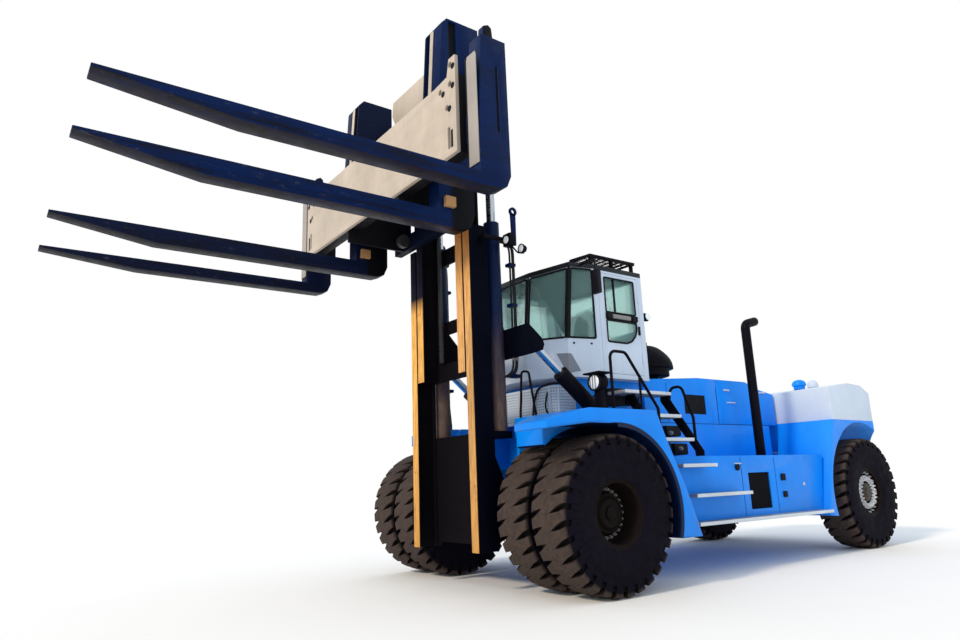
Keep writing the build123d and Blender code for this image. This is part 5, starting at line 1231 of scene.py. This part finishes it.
def weave(plan, x, z, side):
    # crossed slanting wires between the edges of an opening: lines x + z = k and x - z = k clipped to the box
    (x0, x1), (z0, z1), y, pitch = x, z, plan["wireY"], plan["wirePitch"]
    wires = []
    for sign in (1, -1):
        for k in np.arange(x0 - sign * (z1 if sign > 0 else z0) - 1.0, x1 + 3.0, pitch):
            ends = [(k + sign * z, z) for z in (z0, z1) if x0 <= k + sign * z <= x1]
            ends += [(x, (x - k) * sign) for x in (x0, x1) if z0 < (x - k) * sign < z1]
            if len(ends) >= 2:
                (xa, za), (xb, zb) = ends[0], ends[-1]
                middle = ((xa + xb) / 2, side * (y + 0.001 * sign), (za + zb) / 2)
                if math.hypot(xa - xb, za - zb) > pitch:
                    wires.append(tube([(xa, side * y, za), middle, (xb, side * y, zb)], plan["wireRadius"], 4))
    return wires


def makeHull(plan):
    # black insert and mesh in each tank recess, slats in each vent, seams, handles, hinges, plates and caps
    core, mesh, slats, seams, handles, fittings = [], [], [], [], [], []
    meshX, meshZ, ventX, ventZ = plan["meshX"], plan["meshZ"], plan["ventX"], plan["ventZ"]
    tankY, (fillerX, fillerZ), (drainX, drainZ) = plan["tankY"], plan["fillerAt"], plan["drainAt"]
    (hingeY, hingeZ), coreGap, wireGap = plan["hingeAt"], plan["coreGap"], plan["wireGap"]
    for side, word in bothSides:
        core.append(sideBlock(side, inner(meshX, coreGap), plan["meshBack"], inner(meshZ, coreGap), 0.001))
        mesh += weave(plan, inner(meshX, wireGap), inner(meshZ, wireGap), side)
        slats.append(sideBlock(side, inner(ventX, coreGap), plan["ventBack"], inner(ventZ, coreGap), 0.001))
        for z in np.linspace(*inner(ventZ, plan["slatEdge"]), plan["slats"]):
            deep = (z - plan["slatHalf"], z + plan["slatHalf"])
            slats.append(sideBlock(side, inner(ventX, wireGap), plan["slatY"], deep, 0.002))
        seams += [sideBlock(side, *seam, 0.0005) for seam in plan["seams"]]
        for x, z, half in plan["squares"]:
            fittings.append(sideBlock(side, (x - half, x + half), plan["squareY"], (z - half, z + half), 0.006))
        fittings.append(sideKnob(side, plan["filler"], fillerX, tankY, fillerZ, 24))
        handles.append(grabHandle(side, *plan["tankHandle"]))
        handles.append(sideKnob(side, plan["drain"], drainX, tankY, drainZ, 16))
        lid = [grabHandle(side, *plan["lidHandle"])]
        lid += [lathe(plan["hinge"], "x", (x, side * hingeY, hingeZ), 12) for x in plan["hingeX"]]
        piece(f"lid handles {word}", lid, rimNuts, f"bonnet_lid_{word}")
    addPieces((
        ("tank mesh backs", core, blackTrim, "black_paint"),
        ("tank mesh", mesh, blackTrim, "black_paint"),
        ("vent slats", slats, blackTrim, "black_paint"),
        ("hull seams", seams, seamPaint, "blue_paint"),
        ("tank fittings", fittings, blackTrim, "black_paint"),
        ("hull handles", handles, rimNuts, "grey_paint"),
    ), "chassis")


stepPlan = {
    # top, outer edge, front end and rear end of each tread
    "treads": [(2.200, 1.180, -1.000, -1.862), (1.900, 1.320, -1.230, -1.850), (1.600, 1.480, -1.230, -1.850),
               (1.285, 1.700, -1.300, -1.950), (0.940, 1.700, -1.500, -2.600), (0.620, 1.700, -1.500, -4.440)],
    "noseEnd": 0.01, "noseY": (-0.001, 0.006), "noseZ": (-0.038, 0.002),
    # x range, z range and reach of each box under the stairs
    "boxes": [((-2.27, -1.99), (1.66, 1.80), 0.95), ((-2.38, -2.12), (1.42, 1.57), 0.95),
              ((-1.30, -1.06), (2.04, 2.26), 0.90), ((-1.62, -1.38), (2.06, 2.20), 0.86),
              ((-1.70, -1.30), (1.62, 1.76), 0.92)],
    "boxBack": 0.752, "canisters": [(-1.92, 1.52, 0.07), (-1.50, 1.46, 0.06)], "canisterY": 0.90,
    "fitting": [(0.0, 0.028), (0.03, 0.028), (0.034, 0.020), (0.05, 0.020), (0.05, pole)], "fittingY": 0.955,
    "fittings": ((-2.03, 1.70), (-2.20, 1.50), (-1.16, 2.20), (-1.40, 2.12)),
    # corners, bend and radius of each hose
    "hoses": [
        ([(-1.28, 0.80, 1.50), (-1.26, 1.02, 1.62), (-1.45, 1.00, 1.95), (-1.75, 0.85, 1.98)], 0.12, 0.014),
        ([(-0.95, 0.78, 1.95), (-1.02, 0.98, 1.90), (-1.12, 0.96, 1.70), (-1.18, 0.80, 1.55)], 0.10, 0.012),
        ([(-0.72, 0.80, 2.10), (-0.85, 0.92, 2.18), (-0.98, 0.90, 2.02), (-1.05, 0.80, 1.95)], 0.08, 0.012),
    ],
}


def makeSteps(plan):
    # a bright worn nosing on each tread, and dark boxes, canisters, fittings and hoses under the stairs
    noses, boxes, hoses, fittings = [], [], [], []
    (lowY, highY), (lowZ, highZ) = plan["noseY"], plan["noseZ"]
    for side in (1, -1):
        for top, outer, front, rear in plan["treads"]:
            long = inner((rear, front), plan["noseEnd"])
            noses.append(sideBlock(side, long, (outer + lowY, outer + highY), (top + lowZ, top + highZ), 0.002))
        boxes += [sideBlock(side, x, (plan["boxBack"], reach), z, 0.02) for x, z, reach in plan["boxes"]]
        for x, z, r in plan["canisters"]:
            can = [(0.0, r), (0.10, r), (0.115, r * 0.75), (0.115, pole)]
            boxes.append(sideKnob(side, can, x, plan["canisterY"], z, 24))
        fittings += [sideKnob(side, plan["fitting"], x, plan["fittingY"], z, 12) for x, z in plan["fittings"]]
        hoses += [sidePipe(side, *hose) for hose in plan["hoses"]]
    addPieces((
        ("tread noses", noses, brightNose, "silver_tread"),
        ("stair boxes", boxes, blackTrim, "black_paint"),
        ("stair fittings", fittings, dullNuts, "chromed_rod"),
        ("stair hoses", hoses, hoseRubber, "black_paint"),
    ), "chassis")


capPlan = {
    "dome": [(0.0, 0.085), (0.05, 0.090), (0.06, 0.110), (0.10, 0.108), (0.135, 0.085), (0.155, 0.045), (0.160, pole)],
    "fillerAt": (-5.58, 0.80, 2.455), "lugAt": (-6.00, 0.80, 2.435), "lugHeight": 1.25, "lugWidth": 0.8,
}


def makeCapDomes(plan):
    # a blue filler and a pale lug on the counterweight's cap: one dome's profile, the lug's stretched and narrowed
    lug = [(z * plan["lugHeight"], r * plan["lugWidth"]) for z, r in plan["dome"]]
    addPieces((
        ("cap filler", [lathe(plan["dome"], "z", plan["fillerAt"], 32)], finishes["blue_paint"], "blue_paint"),
        ("cap lug", [lathe(lug, "z", plan["lugAt"], 32)], finishes["grey_paint"], "grey_paint"),
    ), "chassis")


makeHull(hullPlan)
makeSteps(stepPlan)
makeCapDomes(capPlan)
print("hull dressed")

cameraPlace = {
    "place": (6.2596, 6.9908, 1.1693),
    "right": (-0.81325713, 0.58080141, -0.03581288),
    "up": (0.1031861, 0.20450621, 0.97341144),
    "lens": 26.1055,
}
lightPlan = {
    "sun": {"turn": (math.radians(56), 0, math.radians(98)), "power": 1.9, "spread": math.radians(8)},
    "sky": 1.0, "sunColour": (1.0, 0.86, 0.68), "skyColour": (0.82, 0.91, 1.0, 1),
    "floorRadius": 60.0, "floorRings": 24, "floorSides": 64, "floorZ": -0.002,
}


def makeCamera(plan):
    # a camera at a place, looking along the cross product of its up and right directions
    right, up = Vector(plan["right"]).normalized(), Vector(plan["up"]).normalized()
    back = right.cross(up)
    turn = Matrix((right, up, back)).transposed().to_4x4()
    data = bpy.data.cameras.new("camera")
    data.lens = plan["lens"]
    data.sensor_width = 36
    data.clip_end = 500
    camera = bpy.data.objects.new("camera", data)
    camera.matrix_world = Matrix.Translation(plan["place"]) @ turn
    scene.collection.objects.link(camera)
    scene.camera = camera


def makeStage(plan):
    # a soft sun, an even sky that shows white to the camera, and a pale floor
    data = bpy.data.lights.new("sun", "SUN")
    data.energy = plan["sun"]["power"]
    data.color = plan["sunColour"]
    data.angle = plan["sun"]["spread"]
    sun = bpy.data.objects.new("sun", data)
    sun.rotation_euler = plan["sun"]["turn"]
    scene.collection.objects.link(sun)
    world = bpy.data.worlds.new("sky")
    world.use_nodes = True
    scene.world = world
    tree = world.node_tree
    sky = tree.nodes["Background"]
    sky.inputs["Color"].default_value = plan["skyColour"]
    sky.inputs["Strength"].default_value = plan["sky"]
    white = tree.nodes.new("ShaderNodeBackground")
    white.inputs["Color"].default_value = (1, 1, 1, 1)
    white.inputs["Strength"].default_value = 1
    rays = tree.nodes.new("ShaderNodeLightPath")
    seen = tree.nodes.new("ShaderNodeMath")
    seen.operation = "MAXIMUM"
    tree.links.new(rays.outputs["Is Camera Ray"], seen.inputs[0])
    tree.links.new(rays.outputs["Is Transmission Ray"], seen.inputs[1])
    mixer = tree.nodes.new("ShaderNodeMixShader")
    tree.links.new(seen.outputs[0], mixer.inputs[0])
    tree.links.new(sky.outputs[0], mixer.inputs[1])
    tree.links.new(white.outputs[0], mixer.inputs[2])
    tree.links.new(mixer.outputs[0], tree.nodes["World Output"].inputs["Surface"])
    # floor disc whose far edge fades in the white sky: rings that widen with the square of their number
    sides = plan["floorSides"]
    r = plan["floorRadius"] * (np.linspace(0, 1, plan["floorRings"]) ** 2)[1:, None]
    t = np.arange(sides) * 2 * np.pi / sides
    points = np.stack([r * np.cos(t), r * np.sin(t), np.full((len(r), sides), plan["floorZ"])], -1)
    rim, faces = gridPart(points, caps=False)
    faces.append(tuple(range(sides - 1, -1, -1)))
    mesh = bpy.data.meshes.new("floor")
    mesh.from_pydata(rim, [], faces)
    mesh.flip_normals()
    floor = bpy.data.objects.new("floor", mesh)
    scene.collection.objects.link(floor)
    n = Nodes("pale floor")
    n.link(n.mix(n.noise(0.6, 4), (0.90, 0.875, 0.85), (0.93, 0.905, 0.88)), n.shader.inputs["Base Color"])
    n.shader.inputs["Roughness"].default_value = 0.9
    mesh.materials.append(n.material)


makeCamera(cameraPlace)
makeStage(lightPlan)
scene.view_settings.view_transform = "Standard"
print("stage set")
